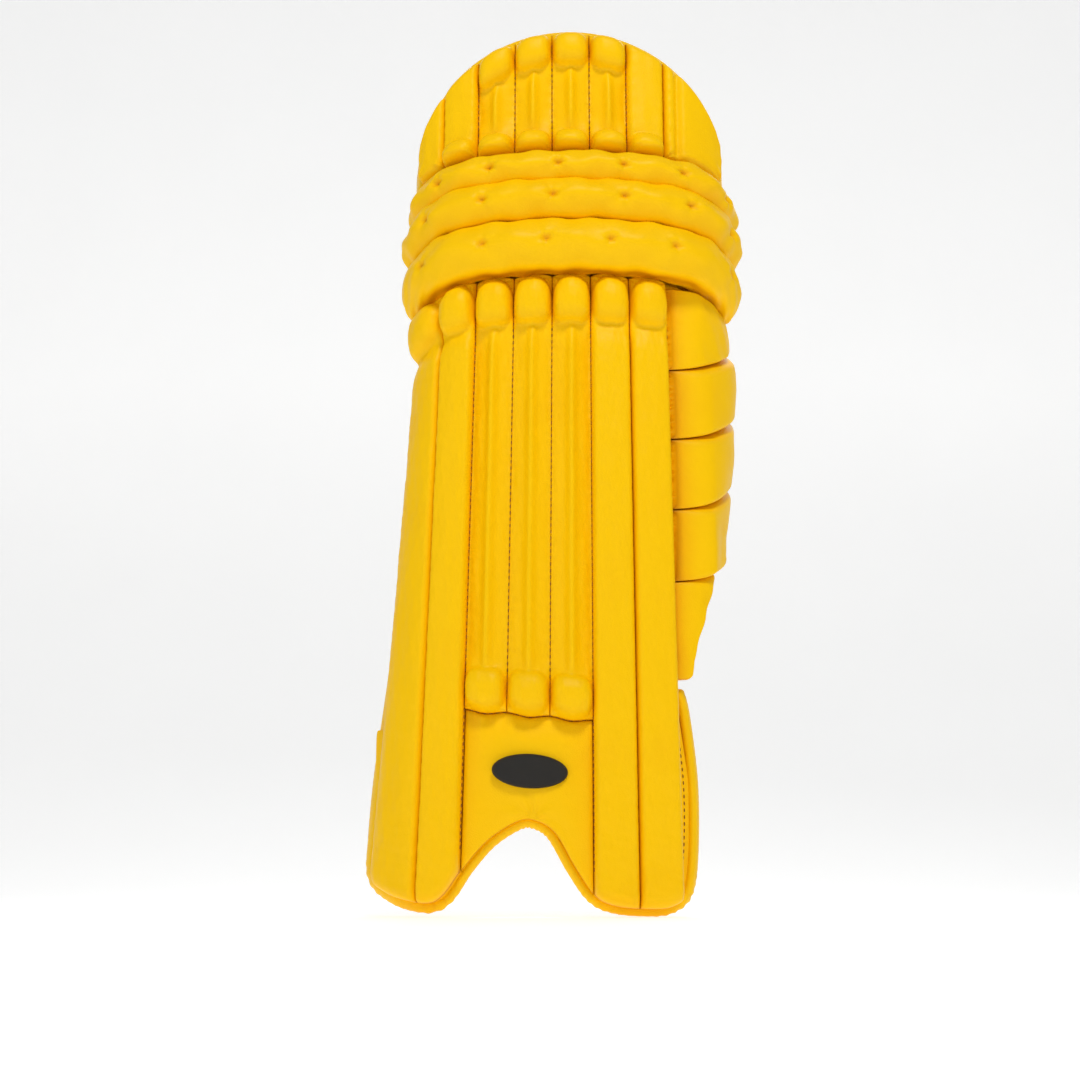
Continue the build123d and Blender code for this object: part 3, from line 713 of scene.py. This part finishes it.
def joining_strip(name, low, high, q_edges, seed):
    """A gathered strip of cloth over a crease: it runs from one shell to the next, bowed outwards, with upright
    gathers. low and high each hold a shell, the front height and the depth there."""
    q = np.linspace(*q_edges, 420)[:, None]
    t = np.linspace(0, 1, 15)[None, :]
    (low_place, low_z, low_n), (high_place, high_z, high_n) = low, high
    n_low, n_high = low_n + 0 * q, high_n + 0 * q
    y = on_knee(q, n_low, 0)[..., 1]
    bottom, top = low_z - CREASE_FALL * y, high_z - CREASE_FALL * y
    bow = 0.0030 * np.sin(np.pi * t) + 0.0008 * np.sin(q * 17 + seed + 2 * np.sin(3 * q)) * np.sin(np.pi * t)
    z = bottom + t * (top - bottom)
    front = (1 - t)[..., None] * low_place(q, n_low + bow, z) + t[..., None] * high_place(q, n_high + bow, z)
    rear = (1 - t)[..., None] * low_place(q, n_low - 0.0012 + 0 * t, z)
    rear = rear + t[..., None] * high_place(q, n_high - 0.0012 + 0 * t, z)
    points = np.concatenate([front, rear[:, ::-1]], 1)
    points = capped(np.concatenate([points, points[:, :1]], 1))
    # Painted shade: the whole strip is darkened evenly, as it lies down in the crease between the sections.
    strip = skin(name, points, yellow_cloth, np.full(points.shape[:2], 0.35))
    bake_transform(strip)


HAT = dict(middle=0.031, face=0.350, half=0.079, corner=0.100, left=62, right=62, first=-0.1395, pitch=0.0310)
JOIN_DEPTH = -0.0165
joining_strip("lower_knee_join", (on_shin, 0.475, JOIN_DEPTH), (on_knee, 0.505, JOIN_DEPTH), (-0.9, 8.8),
              0.4)
joining_strip("upper_knee_join", (on_knee, 0.594, JOIN_DEPTH), (on_hat, 0.610, JOIN_DEPTH), (0.0, 8.9),
              2.2)

# ---- Top hat -------------------------------------------------------------------------------------------------
# Eight short channels under a domed edge protect the lower thigh. Like the shin's, the middle four are ridged over
# canes between two round ends, and all are sewn to a foam board whose edge is bound.
DOME = dict(middle=0.031, half=0.122, height=0.104, base=0.604)
HAT_FOOT = 0.6055
FACE_REACH = 0.1205


def dome_height(x, inset=0.0012):
    """Height of the dome's edge above a place across it: half an ellipse."""
    share = np.clip(np.abs(x - DOME["middle"]) / (DOME["half"] - inset), 0, 0.999)
    return DOME["base"] + (DOME["height"] - inset) * np.sqrt(1 - share ** 2)


def hat_edges(a, q):
    """From a slanting foot, bowed across each channel, up to the dome."""
    x, y, _ = np.moveaxis(on_hat(q, -0.010, 0.0), -1, 0)
    low = HAT_FOOT - TOP_FALL * y - 0.0012 * (1 - a ** 2)
    return low, np.maximum(dome_height(x), low + 0.002)


for number in range(8):
    edges = [number + 0.006, number + 0.994]
    if number == 0:
        edges[0] = float(solve_q(on_hat, 0, np.array([DOME["middle"] - FACE_REACH]), -0.010, 0.0, 0.0)[0])
    if number == 7:
        edges[1] = float(solve_q(on_hat, 0, np.array([DOME["middle"] + FACE_REACH]), -0.010, 0.0, 8.0)[0])

    def hat_face(a, q, z, ends):
        """Ridge or flat face, met by round swellings: at the foot of six channels and at the top of four."""
        up, down = ends
        if number in (2, 3, 4, 5):
            share = ease((up - 0.012) / 0.026) * ease((down - 0.022) / 0.026)
            n = share * ridged(a) + (1 - share) * -0.0062
            n = meet(n, swelling(a, down, 0.0150, 0.0155, -0.0060, 0.0130, width=1.0), 0.0018)
        else:
            n = 0.0008 * (1 - a ** 2) - 0.0012
        if number not in (0, 7):
            n = meet(n, swelling(a, up, 0.0035, 0.0160, -0.0065, 0.0165, width=1.0), 0.0016)
        if number == 7:
            n = n - 0.0035 * np.exp(-((a + 0.62) / 0.10) ** 2)
        n = n + 0.0008 * fan_folds(a, up, 0.0155, 2.3 * number) + 0.00045 * pucker(a, z, number + 3)
        return n + 0.0004 * ripple(a * 2, z * 60, number + 5)

    channel = pillow(
        f"hat_channel_{number + 1}_cover", on_hat, edges, hat_edges, hat_face, -FACE_DEPTH, yellow_cloth, rows=110,
        columns=61 if number == 7 else 41, sides=(SEAM_ROUND, SEAM_ROUND), ends=(0.008, 0.009), seam=SEAM_DEPTH,
        tint=(1 if number else 0.2, 0.2 if number == 7 else 1))
    seat(channel, "top_hat", f"hat_channel_{number + 1}")

for seam in range(1, 8):
    x, y, _ = on_hat(float(seam), -0.012, 0.0)
    z = np.linspace(HAT_FOOT - TOP_FALL * y + 0.004, dome_height(x) - 0.006, 60)
    stitches(f"hat_seam_{seam}_stitches", on_hat(seam, SEAM_DEPTH + 0.0008, z),
             facing(on_hat, seam, SEAM_DEPTH, z), "top_hat", brown_thread)

BINDING_END = 0.592
angle = np.linspace(-np.pi / 2, np.pi / 2, 240)
dome_x, dome_z = DOME["middle"] + DOME["half"] * np.sin(angle), DOME["base"] + DOME["height"] * np.cos(angle)
dome_line = np.stack([dome_x[[0, *range(240), -1]], np.concatenate([[BINDING_END], dome_z, [BINDING_END]])], -1)
hat_binding = binding("hat_binding", on_hat, 0, evenly(dome_line[::-1], 0.0015), 4.5, gathers=0.9)
seat(hat_binding, "top_hat", "hat_piping")

# ---- Wing ----------------------------------------------------------------------------------------------------
# The outer calf is covered by a stiff wing: three raised foam blocks between a plain panel above and a tapering
# one below, divided by slanting seams and sewn to a foam board whose rear edge is bound.
WING_SEAMS = (0.249, 0.306, 0.3625, 0.419)
SEAM_RISE = 0.57
WING_EDGE = [(0.018, 0.165), (0.042, 0.257), (0.073, 0.290), (0.099, 0.322), (0.110, 0.372), (0.111, 0.440),
             (0.106, 0.476)]  # y and z of the wing's rear edge, and below it of the blocks' rear edge
BLOCK_EDGE = [(0.038, 0.240), (0.042, 0.256), (0.056, 0.282), (0.063, 0.320), (0.066, 0.400), (0.064, 0.490)]
wing_edge, block_edge = through(WING_EDGE, 40), through(BLOCK_EDGE)
WING_FRONT = 7.03
WING_TUCK = 6.90
WING_SEAM_DEPTH = -0.0110
WING_TOP = 0.4955
WING_TILT = 0.335
WING_FOOT = 0.176
TIP_WIDTH = 0.0030
NARROWING = 0.0045
HALF_SEAM = 0.0005
FLARE = np.array([
    (0.262, -0.003), (0.279, -0.006), (0.295, -0.0065), (0.325, -0.0025), (0.356, 0.001), (0.387, 0.0034),
    (0.418, 0.006), (0.433, 0.0065), (0.450, 0.0050), (0.470, 0.004), (0.485, 0.0015),
]).T  # heights, and how much further out the panels' rear parts stand there


def wing_panel(name, number, face, bevel, fill, raised):
    """One panel of the wing as a closed stuffed form. Its rows lie between two slanting seams and its columns
    between the wing's front seam and its rear edge; edges are rounded down by a distance from each of them. A
    few rounds settle the rows' heights, which depend on how wide the panel is at their own height."""
    edge = (block_edge if number else wing_edge).copy()
    if number:
        edge[:, 0] += 0.017 * ease((edge[:, 1] - 0.27) / 0.09)
    else:
        edge[:, 0] -= NARROWING * ease((edge[:, 1] - 0.17) / 0.05)
    s, t = crowded(49)[None, :], crowded(61)[:, None]
    crest = float(on_shin(7.0, -0.006, WING_SEAMS[min(number, 3)])[1])
    z = np.full((61, 49), 0.2 + 0.05 * number)
    for _ in range(12):
        front = on_shin(WING_FRONT, -0.010, z)[..., 1]
        y = front + s * np.maximum(np.interp(z, edge[:, 1], edge[:, 0]) - front, TIP_WIDTH)
        rise = SEAM_RISE * (y - crest)
        low = WING_SEAMS[number - 1] + rise + HALF_SEAM if number else WING_FOOT + 0 * y
        high = WING_SEAMS[number] + rise - HALF_SEAM if number < 4 else WING_TOP - WING_TILT * y
        z = low + t * (high - low)
    width = np.maximum(np.interp(z, edge[:, 1], edge[:, 0]) - front, TIP_WIDTH)
    sides = [round_off(s * width, bevel, 2.2), round_off((1 - s) * width, bevel, 2.2),
             round_off(z - low, bevel, 2.2), round_off(high - z, bevel if number < 4 else 0.002, 2.2)]
    rise = sides[0] * sides[1] * sides[2] * sides[3]
    crown = fill * (1 - (2 * s - 1) ** 2) * (1 - (2 * t - 1) ** 2)
    wrinkle = 0.0004 * ripple(y * 60, z * 60, number)
    wrinkle = wrinkle + 0.0003 * np.sin(y * 420 + z * 160 + number) * (1 - raised)
    crown = crown + np.interp(z, *FLARE) * ease(s / 0.6) * (number > 0)
    n = np.where(rise < 1e-6, -FACE_DEPTH, WING_SEAM_DEPTH + (face - WING_SEAM_DEPTH + crown + wrinkle) * rise)
    points = on_shin(np.maximum(solve_q(on_shin, 1, y, n, z, 8.2), WING_TUCK), n, z)
    rear_y, rear_z = y[:, ::-6], z[:, ::-6]
    rear_n = np.full(rear_y.shape, -FACE_DEPTH)
    rear = on_shin(np.maximum(solve_q(on_shin, 1, rear_y, rear_n, rear_z, 8.2), WING_TUCK), rear_n, rear_z)
    points = np.concatenate([points, rear], 1)
    # Painted shade: darker where the panel rounds down into its seams, less towards the rear edge.
    crease = np.where(rise < 1e-6, 0.1, (1 - rise) ** 2.4) * (1 - 0.8 * s ** 6)
    crease = np.concatenate([crease, 0 * rear_z], 1)
    panel = skin(f"{name}_cover", points, yellow_cloth, crease)
    seat(panel, "wing", name)


wing_panels = ("wing_lower_panel", "wing_block_3", "wing_block_2", "wing_block_1", "wing_upper_panel")
for number, name in enumerate(wing_panels):
    block = "block" in name
    face = 0.0015 if block else (-0.0015 if number else -0.0055)
    wing_panel(name, number, face, 0.0070 if block else 0.005, 0.0012, float(block))

for number, height in enumerate(WING_SEAMS):
    front = float(on_shin(WING_FRONT, -0.016, height)[1])
    seam_end = float(np.interp(height + 0.02, block_edge[:, 1], block_edge[:, 0]))
    y = np.linspace(front + 0.001, seam_end - 0.001, 50)
    z = height + SEAM_RISE * (y - float(on_shin(7.0, -0.006, height)[1]))
    sunk = WING_SEAM_DEPTH + 0.0006
    q = solve_q(on_shin, 1, y, sunk, z, 8.0)
    stitches(f"wing_seam_{number + 1}_stitches", on_shin(q, sunk, z), facing(on_shin, q, sunk, z), "wing",
             brown_thread)

wing_line = evenly(wing_edge[(wing_edge[:, 1] > 0.172) & (wing_edge[:, 1] < 0.462)], 0.002)
wing_line[:, 0] -= NARROWING * ease((0.262 - wing_line[:, 1]) / 0.035)
wing_binding = binding("wing_binding", on_shin, 1, wing_line, 9.0, depth=(-0.0188, -0.0304), width=0.0056,
                       gathers=0.4, least_q=6.95)
seat(wing_binding, "wing", "wing_piping")


# ---- Boards, canes and tapes ---------------------------------------------------------------------------------
# Foam boards covered in the same cloth stiffen each section, and split canes lie in its channels. Hook tape is
# sewn inside the end of each strap, and loop tape where it fastens, at the ankle on a stiff covered tab.
def dress(coat, *nodes):
    """Gives CAD nodes a material through their object's own slots."""
    for node in nodes:
        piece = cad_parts[node]
        if not piece.material_slots:
            piece.data.materials.append(coat)
        for place in piece.material_slots:
            place.link = "OBJECT"
            place.material = coat


dress(yellow_cloth, "shin_board", "knee_board", "hat_board", "wing_board", "ankle_tab")


def coat_cane():
    """Split cane: long fibres up the piece and a waxy skin."""
    coat, wire = new_coat("split_cane")
    stretched = wire.add("Mapping", Vector=wire.add("TexCoord", output=3), Scale=(900.0, 900.0, 12.0))
    fibre = wire.add("TexNoise", Vector=stretched, Scale=1.0, Detail=3.0)
    close_coat(wire, fibre.blend(srgb(176, 132, 72), srgb(222, 186, 122)), fibre * 0.3 + 0.35, fibre, 0.0003)
    return coat


dress(coat_cane(), "shin_canes", "hat_canes")


def coat_tape(name, scale, depth, light):
    """Hook or loop tape: a dense field of tiny nylon ends, darkest between them."""
    coat, wire = new_coat(name)
    ends = wire.add("TexVoronoi", Vector=wire.add("TexCoord", output=3), Scale=scale)
    fuzz = wire.add("TexNoise", Vector=wire.add("TexCoord", output=3), Scale=scale * 2, Detail=4.0)
    colour = (ends * 0.7 + fuzz * 0.5).clamp().blend(srgb(10, 10, 11), srgb(light, light, light + 2))
    close_coat(wire, colour, fuzz * 0.2 + 0.6, 1 - ends + fuzz * 0.5, depth)
    return coat


dress(coat_tape("hook_tape", 620.0, 0.0008, 62), "ankle_hook_patch", "calf_hook_patch", "knee_hook_patch")
dress(coat_tape("loop_tape", 380.0, 0.0006, 44), "loop_patches")

# ---- Linings -------------------------------------------------------------------------------------------------
# Off-white cotton drill faces the leg over a thin layer of wadding, quilted in upright lines, one cover for the
# shin, one for the knee, one for the top hat and one for the wing.
LINING_OUT = -0.0292


def coat_cotton(name, lit, shade):
    """Twill cotton: two crossing sets of fine threads, slubs, soft greying at random, and painted shade in its
    creases.
    """
    coat, wire = new_coat(name)
    here = wire.add("TexCoord", output=3)
    warp = wire.add("TexWave", {"wave_type": "BANDS", "bands_direction": "Z"}, Vector=here, Scale=480.0,
                    Distortion=0.6)
    weft = wire.add("TexWave", {"wave_type": "BANDS", "bands_direction": "DIAGONAL"}, Vector=here, Scale=430.0,
                    Distortion=0.6)
    slub = wire.add("TexNoise", Vector=here, Scale=260.0, Detail=3.0)
    soil = wire.add("TexNoise", Vector=here, Scale=14.0, Detail=4.0)
    crease = wire.add("Attribute", {"attribute_name": "crease"}, output=2)
    weave = warp * 0.5 + weft * 0.5
    # Painted shade: the crease value darkens the cotton towards the shade colour.
    colour = (weave * 0.35 + slub * 0.3 + soil * 0.35 - crease * 0.5).clamp().blend(shade, lit)
    close_coat(wire, colour, slub * 0.15 + 0.72, weave * 0.7 + slub * 0.8, 0.00035, Sheen_Weight=0.25)
    return coat


cream_cotton = coat_cotton("cream_cotton", srgb(240, 236, 224), srgb(196, 189, 170))
cream_thread = coat_thread("cream_thread", srgb(206, 198, 176), srgb(238, 232, 214))


def lining(name, node, body, place, q_edges, z_edges, pitch=0.5, seed=0.0):
    """Quilted cotton over the back of the board: shallow ribs between upright stitched lines."""
    def face(a, q, z, ends):
        ribs = np.abs(np.sin(np.pi * (q - q_edges[0]) / pitch)) ** 0.6
        return LINING_OUT - 0.0014 - 0.0012 * ribs - 0.0003 * ripple(q * 5, z * 90, seed)

    quilt = pillow(name, place, q_edges, z_edges, face, LINING_OUT, cream_cotton, rows=90,
                   columns=int((q_edges[1] - q_edges[0]) * 24), sides=(0.002, 0.002), ends=(0.002, 0.002))
    seat(quilt, body, node)


def shin_lining_edges(a, q):
    """From 4 mm above the foot's edge to the slanting top."""
    y = on_shin(q, LINING_OUT, 0.49)[..., 1]
    return foot_height(np.clip(q, -0.8, 6.6), LINING_OUT) + 0.004, 0.492 - TOP_FALL * y


def knee_lining_edges(a, q):
    """Between the two creases, which fall towards the leg."""
    y = on_knee(q, LINING_OUT, 0.5)[..., 1]
    return 0.4985 - 0.30 * y, 0.599 - TOP_FALL * y


def hat_lining_edges(a, q):
    """From the slanting foot to just inside the dome."""
    x, y, _ = np.moveaxis(on_hat(q, LINING_OUT, 0.0), -1, 0)
    low = HAT_FOOT - TOP_FALL * y
    return low, np.maximum(dome_height(x, 0.004), low + 0.002)


lining("shin_lining_quilt", "shin_lining", "shin", on_shin, (-0.75, 6.84), shin_lining_edges, seed=1.0)
lining("knee_lining_quilt", "knee_lining", "knee", on_knee, (0.5, 8.5), knee_lining_edges, seed=2.0)
lining("hat_lining_quilt", "hat_lining", "top_hat", on_hat, (-0.45, 9.45), hat_lining_edges, seed=3.0)


def wing_lining():
    """The wing's lining: ribs as on the others, between the front seam and the wing's rear edge."""
    s = crowded(61)[None, :]
    z = np.linspace(0.243, 0.470, 120)[:, None]
    front = on_shin(7.25, LINING_OUT, z)[..., 1]
    y = front + s * np.maximum(np.interp(z, wing_edge[:, 1], wing_edge[:, 0]) - 0.003 - front, 0.0005)
    z = np.minimum(z, 0.484 - 0.24 * y)
    width = np.interp(z, wing_edge[:, 1], wing_edge[:, 0]) - front
    rise = round_off(s * width, 0.002) * round_off((1 - s) * width, 0.002)
    ribs = np.abs(np.sin(np.pi * y / 0.016)) ** 0.6
    n = LINING_OUT - (0.0006 + 0.0012 * ribs) * rise
    inner = on_shin(solve_q(on_shin, 1, y, n, z, 8.5), n, z)
    outer = on_shin(solve_q(on_shin, 1, y, LINING_OUT + 0 * y, z, 8.5), LINING_OUT + 0 * y, z)[:, ::-1]
    quilt = skin("wing_lining_quilt", capped(np.concatenate([inner, outer[:, 1:]], 1)), cream_cotton)
    seat(quilt, "wing", "wing_lining")


wing_lining()

# ---- Back cushions -------------------------------------------------------------------------------------------
# Cotton bolsters stuffed with wadding hold the pad off the shin, a cup holds the kneecap, and thinner cushions
# lie behind the ankle and the thigh. Each is crowned and drawn in at its corners; most are stitched across.
CUSHION_BACK = -0.0312


def cushion(node, body, place, q_edges, heights, thick, channels, seed):
    """A crowned pillow whose sides curve in between its corners, sewn across into channels of equal height."""
    def edges(a, q):
        waist = 0.0035 * (1 - a ** 2)
        return heights[0] + 0.0045 - waist, heights[1] - 0.0045 + waist

    def face(a, q, z, ends):
        t = (z - heights[0]) / (heights[1] - heights[0])
        crown = 0.74 + 0.26 * (1 - a ** 2) ** 0.7 * np.clip(4 * t * (1 - t), 0, 1) ** 0.3
        sewn = np.abs(np.sin(np.pi * channels * t)) ** 0.45 if channels > 1 else 1
        folds = 0.0007 * np.sin(a * 15 + 3 * np.sin(z * 130 + seed)) * (1 - np.abs(sewn))
        folds = folds + 0.0005 * ripple(a * 3, z * 110, seed)
        return CUSHION_BACK - thick * crown * (0.70 + 0.30 * sewn) - folds

    pad = pillow(f"{node}_pad", place, q_edges, edges, face, CUSHION_BACK, cream_cotton, rows=150, columns=49,
                 sides=(0.013, 0.013), ends=(0.014, 0.014), power=2.0)
    seat(pad, body, node)
    for k in range(1, channels):
        z = heights[0] + (heights[1] - heights[0]) * k / channels
        q = np.linspace(q_edges[0] + 0.18, q_edges[1] - 0.18, 40)
        n = CUSHION_BACK - thick * 0.70 * 0.93 - 0.0004
        stitches(f"{node}_stitches_{k}", place(q, n, z), -facing(place, q, n, z), body, cream_thread,
                 radius=0.0006)


cushion("shin_bolster_inner", "shin", on_shin, (2.1, 3.4), (0.165, 0.462), 0.022, 6, 0.3)
cushion("shin_bolster_outer", "shin", on_shin, (5.1, 6.4), (0.165, 0.462), 0.022, 6, 1.3)
cushion("ankle_cushion", "shin", on_shin, (2.4, 4.6), (0.084, 0.150), 0.012, 2, 2.3)
cushion("knee_cup", "knee", on_knee, (2.9, 6.1), (0.500, 0.568), 0.015, 2, 3.3)
cushion("knee_cushion_inner", "knee", on_knee, (1.4, 2.7), (0.492, 0.556), 0.020, 1, 4.3)
cushion("knee_cushion_outer", "knee", on_knee, (6.3, 7.6), (0.492, 0.556), 0.020, 1, 5.3)
cushion("hat_cushion", "top_hat", on_hat, (2.6, 6.4), (0.598, 0.676), 0.015, 2, 6.3)

# ---- Straps --------------------------------------------------------------------------------------------------
# Three straps of doubled cloth run from the inner flap round behind the leg and fasten outside it with hook and
# loop tape. They bend freely, so each is one band across both of its links, edge-stitched and rounded at its end.
STRAPS = {"ankle": 0.120, "calf": 0.350, "knee": 0.434}
STRAP_WIDTH = 0.045
STRAP_THICK = 0.0030
STRAP_BACK = 0.168
TIP_ROUND = 0.016
THREAD_LINE = 0.0187


def strap(name, height):
    """A band with rounded edges carried along its route behind the leg: a quarter of an ellipse on each side of
    the rearmost point, then straight forward over the fastening. It ripples slightly in and out."""
    band_low, band_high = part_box(f"{name}_strap_band")
    tab_low, tab_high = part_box(f"{name}_strap_tab")
    root_x, root_y = band_low[0] + STRAP_THICK / 2, band_low[1]
    end_x, tip_y = tab_high[0] - STRAP_THICK / 2, tab_low[1]
    middle = (root_x + end_x) / 2
    turn_y = 0.080 if name == "ankle" else 0.112
    rear = STRAP_BACK + STRAP_THICK / 2
    t = np.linspace(np.pi, np.pi / 2, 90)
    first = np.stack([middle + (middle - root_x) * np.cos(t), root_y + (rear - root_y) * np.sin(t)], -1)
    t = np.linspace(np.pi / 2, 0, 90)[1:]
    second = np.stack([middle + (end_x - middle) * np.cos(t), turn_y + (rear - turn_y) * np.sin(t)], -1)
    t = np.linspace(turn_y, tip_y, 40)[1:]
    route = evenly(np.concatenate([first, second, np.stack([np.full(39, end_x), t], -1)]), 0.0016)
    normals = -outline_normals(route)
    run = run_along(route)[:, None]
    tip = run[-1] - run
    corner = np.sqrt(np.clip(1 - (1 - tip / TIP_ROUND) ** 2, 0, 1)) * 0.55 + 0.45
    half = STRAP_WIDTH / 2 * np.where(tip < TIP_ROUND, corner, 1) * np.where(tip < 1e-6, 0.0, 1)
    turn = np.linspace(0, 2 * np.pi, 57)[None, :]
    across = np.sign(np.cos(turn)) * np.abs(np.cos(turn)) ** 0.35 * half
    ripples = 0.0004 * np.sin(run * 75 + across * 60) * ease(tip / 0.06) + 0 * across
    thick = np.sign(np.sin(turn)) * np.abs(np.sin(turn)) ** 0.6 * (STRAP_THICK / 2) * (half > 0)
    edge_line = np.exp(-((np.abs(across) - (STRAP_WIDTH / 2 - 0.0038)) / 0.0010) ** 2)
    out = thick * (1 - 0.32 * edge_line) + ripples
    x = route[:, None, 0] + out * normals[:, None, 0]
    y = route[:, None, 1] + out * normals[:, None, 1]
    points = np.stack([x, y, height + across], -1)
    # Painted shade in the groove of the stitched line near each edge.
    crease = np.concatenate([np.zeros((1, 57)), edge_line * 0.5 + 0 * x])
    band = skin(f"{name}_strap_cloth", capped(points), yellow_cloth, crease)
    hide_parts(f"{name}_strap_band", f"{name}_strap_tab")
    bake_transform(band)
    for side, label in ((-1, "lower"), (1, "upper")):
        threaded = slice(6, -14)
        face = np.pad(normals[threaded], ((0, 0), (0, 1)))
        edge = np.pad(route[threaded], ((0, 0), (0, 1))) + [0, 0, height + side * THREAD_LINE] + face * 0.0010
        half_way = int(np.argmin(np.abs(edge[:, 0] - middle)))
        stitches(f"{name}_strap_{label}_stitches_band", edge[:half_way - 12], face[:half_way - 12],
                 f"{name}_strap", brown_thread)
        stitches(f"{name}_strap_{label}_stitches_tab", edge[half_way + 12:], face[half_way + 12:],
                 f"{name}_strap_end", brown_thread)


for name, height in STRAPS.items():
    strap(name, height)


def strap_root(name, height):
    """The strap's sewn end: from the front of the inner flap, over its edge, to the start of the free band."""
    low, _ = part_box(f"{name}_strap_band")
    start = np.array([low[0] + STRAP_THICK / 2, low[1]])
    q = np.linspace(-0.30, -1.16, 24)
    x, y, _ = np.moveaxis(on_shin(q, BOARD_FACE + 0.0022, height), -1, 0)
    sewn = np.stack([x, y], -1)
    ahead = (sewn[-1] - sewn[-2]) / np.linalg.norm(sewn[-1] - sewn[-2])
    reach = np.linalg.norm(start - sewn[-1])
    t = np.linspace(0, 1, 16)[1:, None]
    bow = (1 - t) ** 3 * sewn[-1] + 3 * (1 - t) ** 2 * t * (sewn[-1] + ahead * reach * 0.45)
    bow = bow + 3 * (1 - t) * t ** 2 * (start - np.array([0, 1]) * reach * 0.45) + t ** 3 * (start + [0, 0.004])
    route = evenly(np.concatenate([sewn, bow]), 0.0012)
    normals = -outline_normals(route)
    turn = np.linspace(0, 2 * np.pi, 41)[None, :]
    across = np.sign(np.cos(turn)) * np.abs(np.cos(turn)) ** 0.35 * (STRAP_WIDTH / 2 + 0.0006)
    thick = np.sign(np.sin(turn)) * np.abs(np.sin(turn)) ** 0.6 * (STRAP_THICK / 2 + 0.0003)
    x = route[:, None, 0] + thick * normals[:, None, 0]
    y = route[:, None, 1] + thick * normals[:, None, 1]
    points = np.stack([x, y, height + across + 0 * x], -1)
    root = skin(f"{name}_strap_root", capped(points), yellow_cloth)
    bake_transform(root)
    return root


roots = [strap_root(name, height) for name, height in STRAPS.items()]
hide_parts("strap_anchors")


# ---- Stage ---------------------------------------------------------------------------------------------------
# The pad stands upright on a pale seamless sheet that curves up behind it, under soft studio light. The camera
# is close to the floor and looks slightly up.
def floor_coat():
    """Plain pale floor with the faintest unevenness."""
    coat, wire = new_coat("pale_floor")
    cloud = wire.add("TexNoise", Vector=wire.add("TexCoord", output=3), Scale=3.0)
    close_coat(wire, cloud.blend(srgb(238, 238, 237), srgb(243, 243, 242)), cloud * 0.1 + 0.6, cloud, 0.0001,
               Emission_Color=(1, 1, 1, 1), Emission_Strength=0.42)
    return coat


def sweep():
    """A floor that runs flat behind the pad and then curves up into a wall: a straight line, a quarter circle and
    a straight line, drawn out sideways."""
    turn = np.linspace(0, np.pi / 2, 24)
    y = np.concatenate([[-5.0], 2.0 + 1.5 * np.sin(turn), [3.5]])
    z = np.concatenate([[0.0], 1.5 - 1.5 * np.cos(turn), [5.0]]) - 0.0005
    x = np.array([[-6.0], [6.0]])
    return skin("floor", np.stack([x + 0 * y, 0 * x + y, 0 * x + z], -1), floor_coat())


sweep()


def area_light(name, spot, aim, size, power, colour):
    """A square soft light at a spot, turned to its aim."""
    lamp = bpy.data.lights.new(name, "AREA")
    lamp.shape, lamp.size, lamp.energy, lamp.color = "SQUARE", size, power, colour
    holder = bpy.data.objects.new(name, lamp)
    holder.location = spot
    direction = np.array(aim) - np.array(spot)
    pan = math.atan2(direction[1], direction[0]) - math.pi / 2
    tilt = math.atan2(direction[2], math.hypot(direction[0], direction[1])) + math.pi / 2
    holder.rotation_euler = (tilt, 0, pan)
    bpy.context.scene.collection.objects.link(holder)


area_light("key_light", (0.3, -1.7, 2.3), (0, 0, 0.35), 0.45, 30, (1, 0.985, 0.96))
area_light("fill_light", (-1.9, -1.7, 0.9), (0, 0, 0.35), 1.6, 5, (0.97, 0.98, 1))
area_light("back_light", (0.2, 1.7, 1.8), (0, 0, 0.4), 1.5, 10, (1, 1, 1))
world = bpy.data.worlds.new("studio")
world.use_nodes = True
world.node_tree.nodes["Background"].inputs[0].default_value = (0.92, 0.93, 0.95, 1)
world.node_tree.nodes["Background"].inputs[1].default_value = 0.31
bpy.context.scene.world = world
bpy.context.scene.view_settings.view_transform = "Standard"

AIM = np.array([0.0061, 0.0, 0.2805])
DISTANCE = 1.275
LOOK_UP = math.radians(12)
camera = bpy.data.objects.new("camera", bpy.data.cameras.new("camera"))
camera.data.lens = 55.73
camera.data.sensor_width = 36
camera.data.clip_start = 0.01
camera.location = AIM - DISTANCE * np.array([0, math.cos(LOOK_UP), math.sin(LOOK_UP)])
camera.rotation_euler = (math.pi / 2 + LOOK_UP, 0, 0)
bpy.context.scene.collection.objects.link(camera)
bpy.context.scene.camera = camera
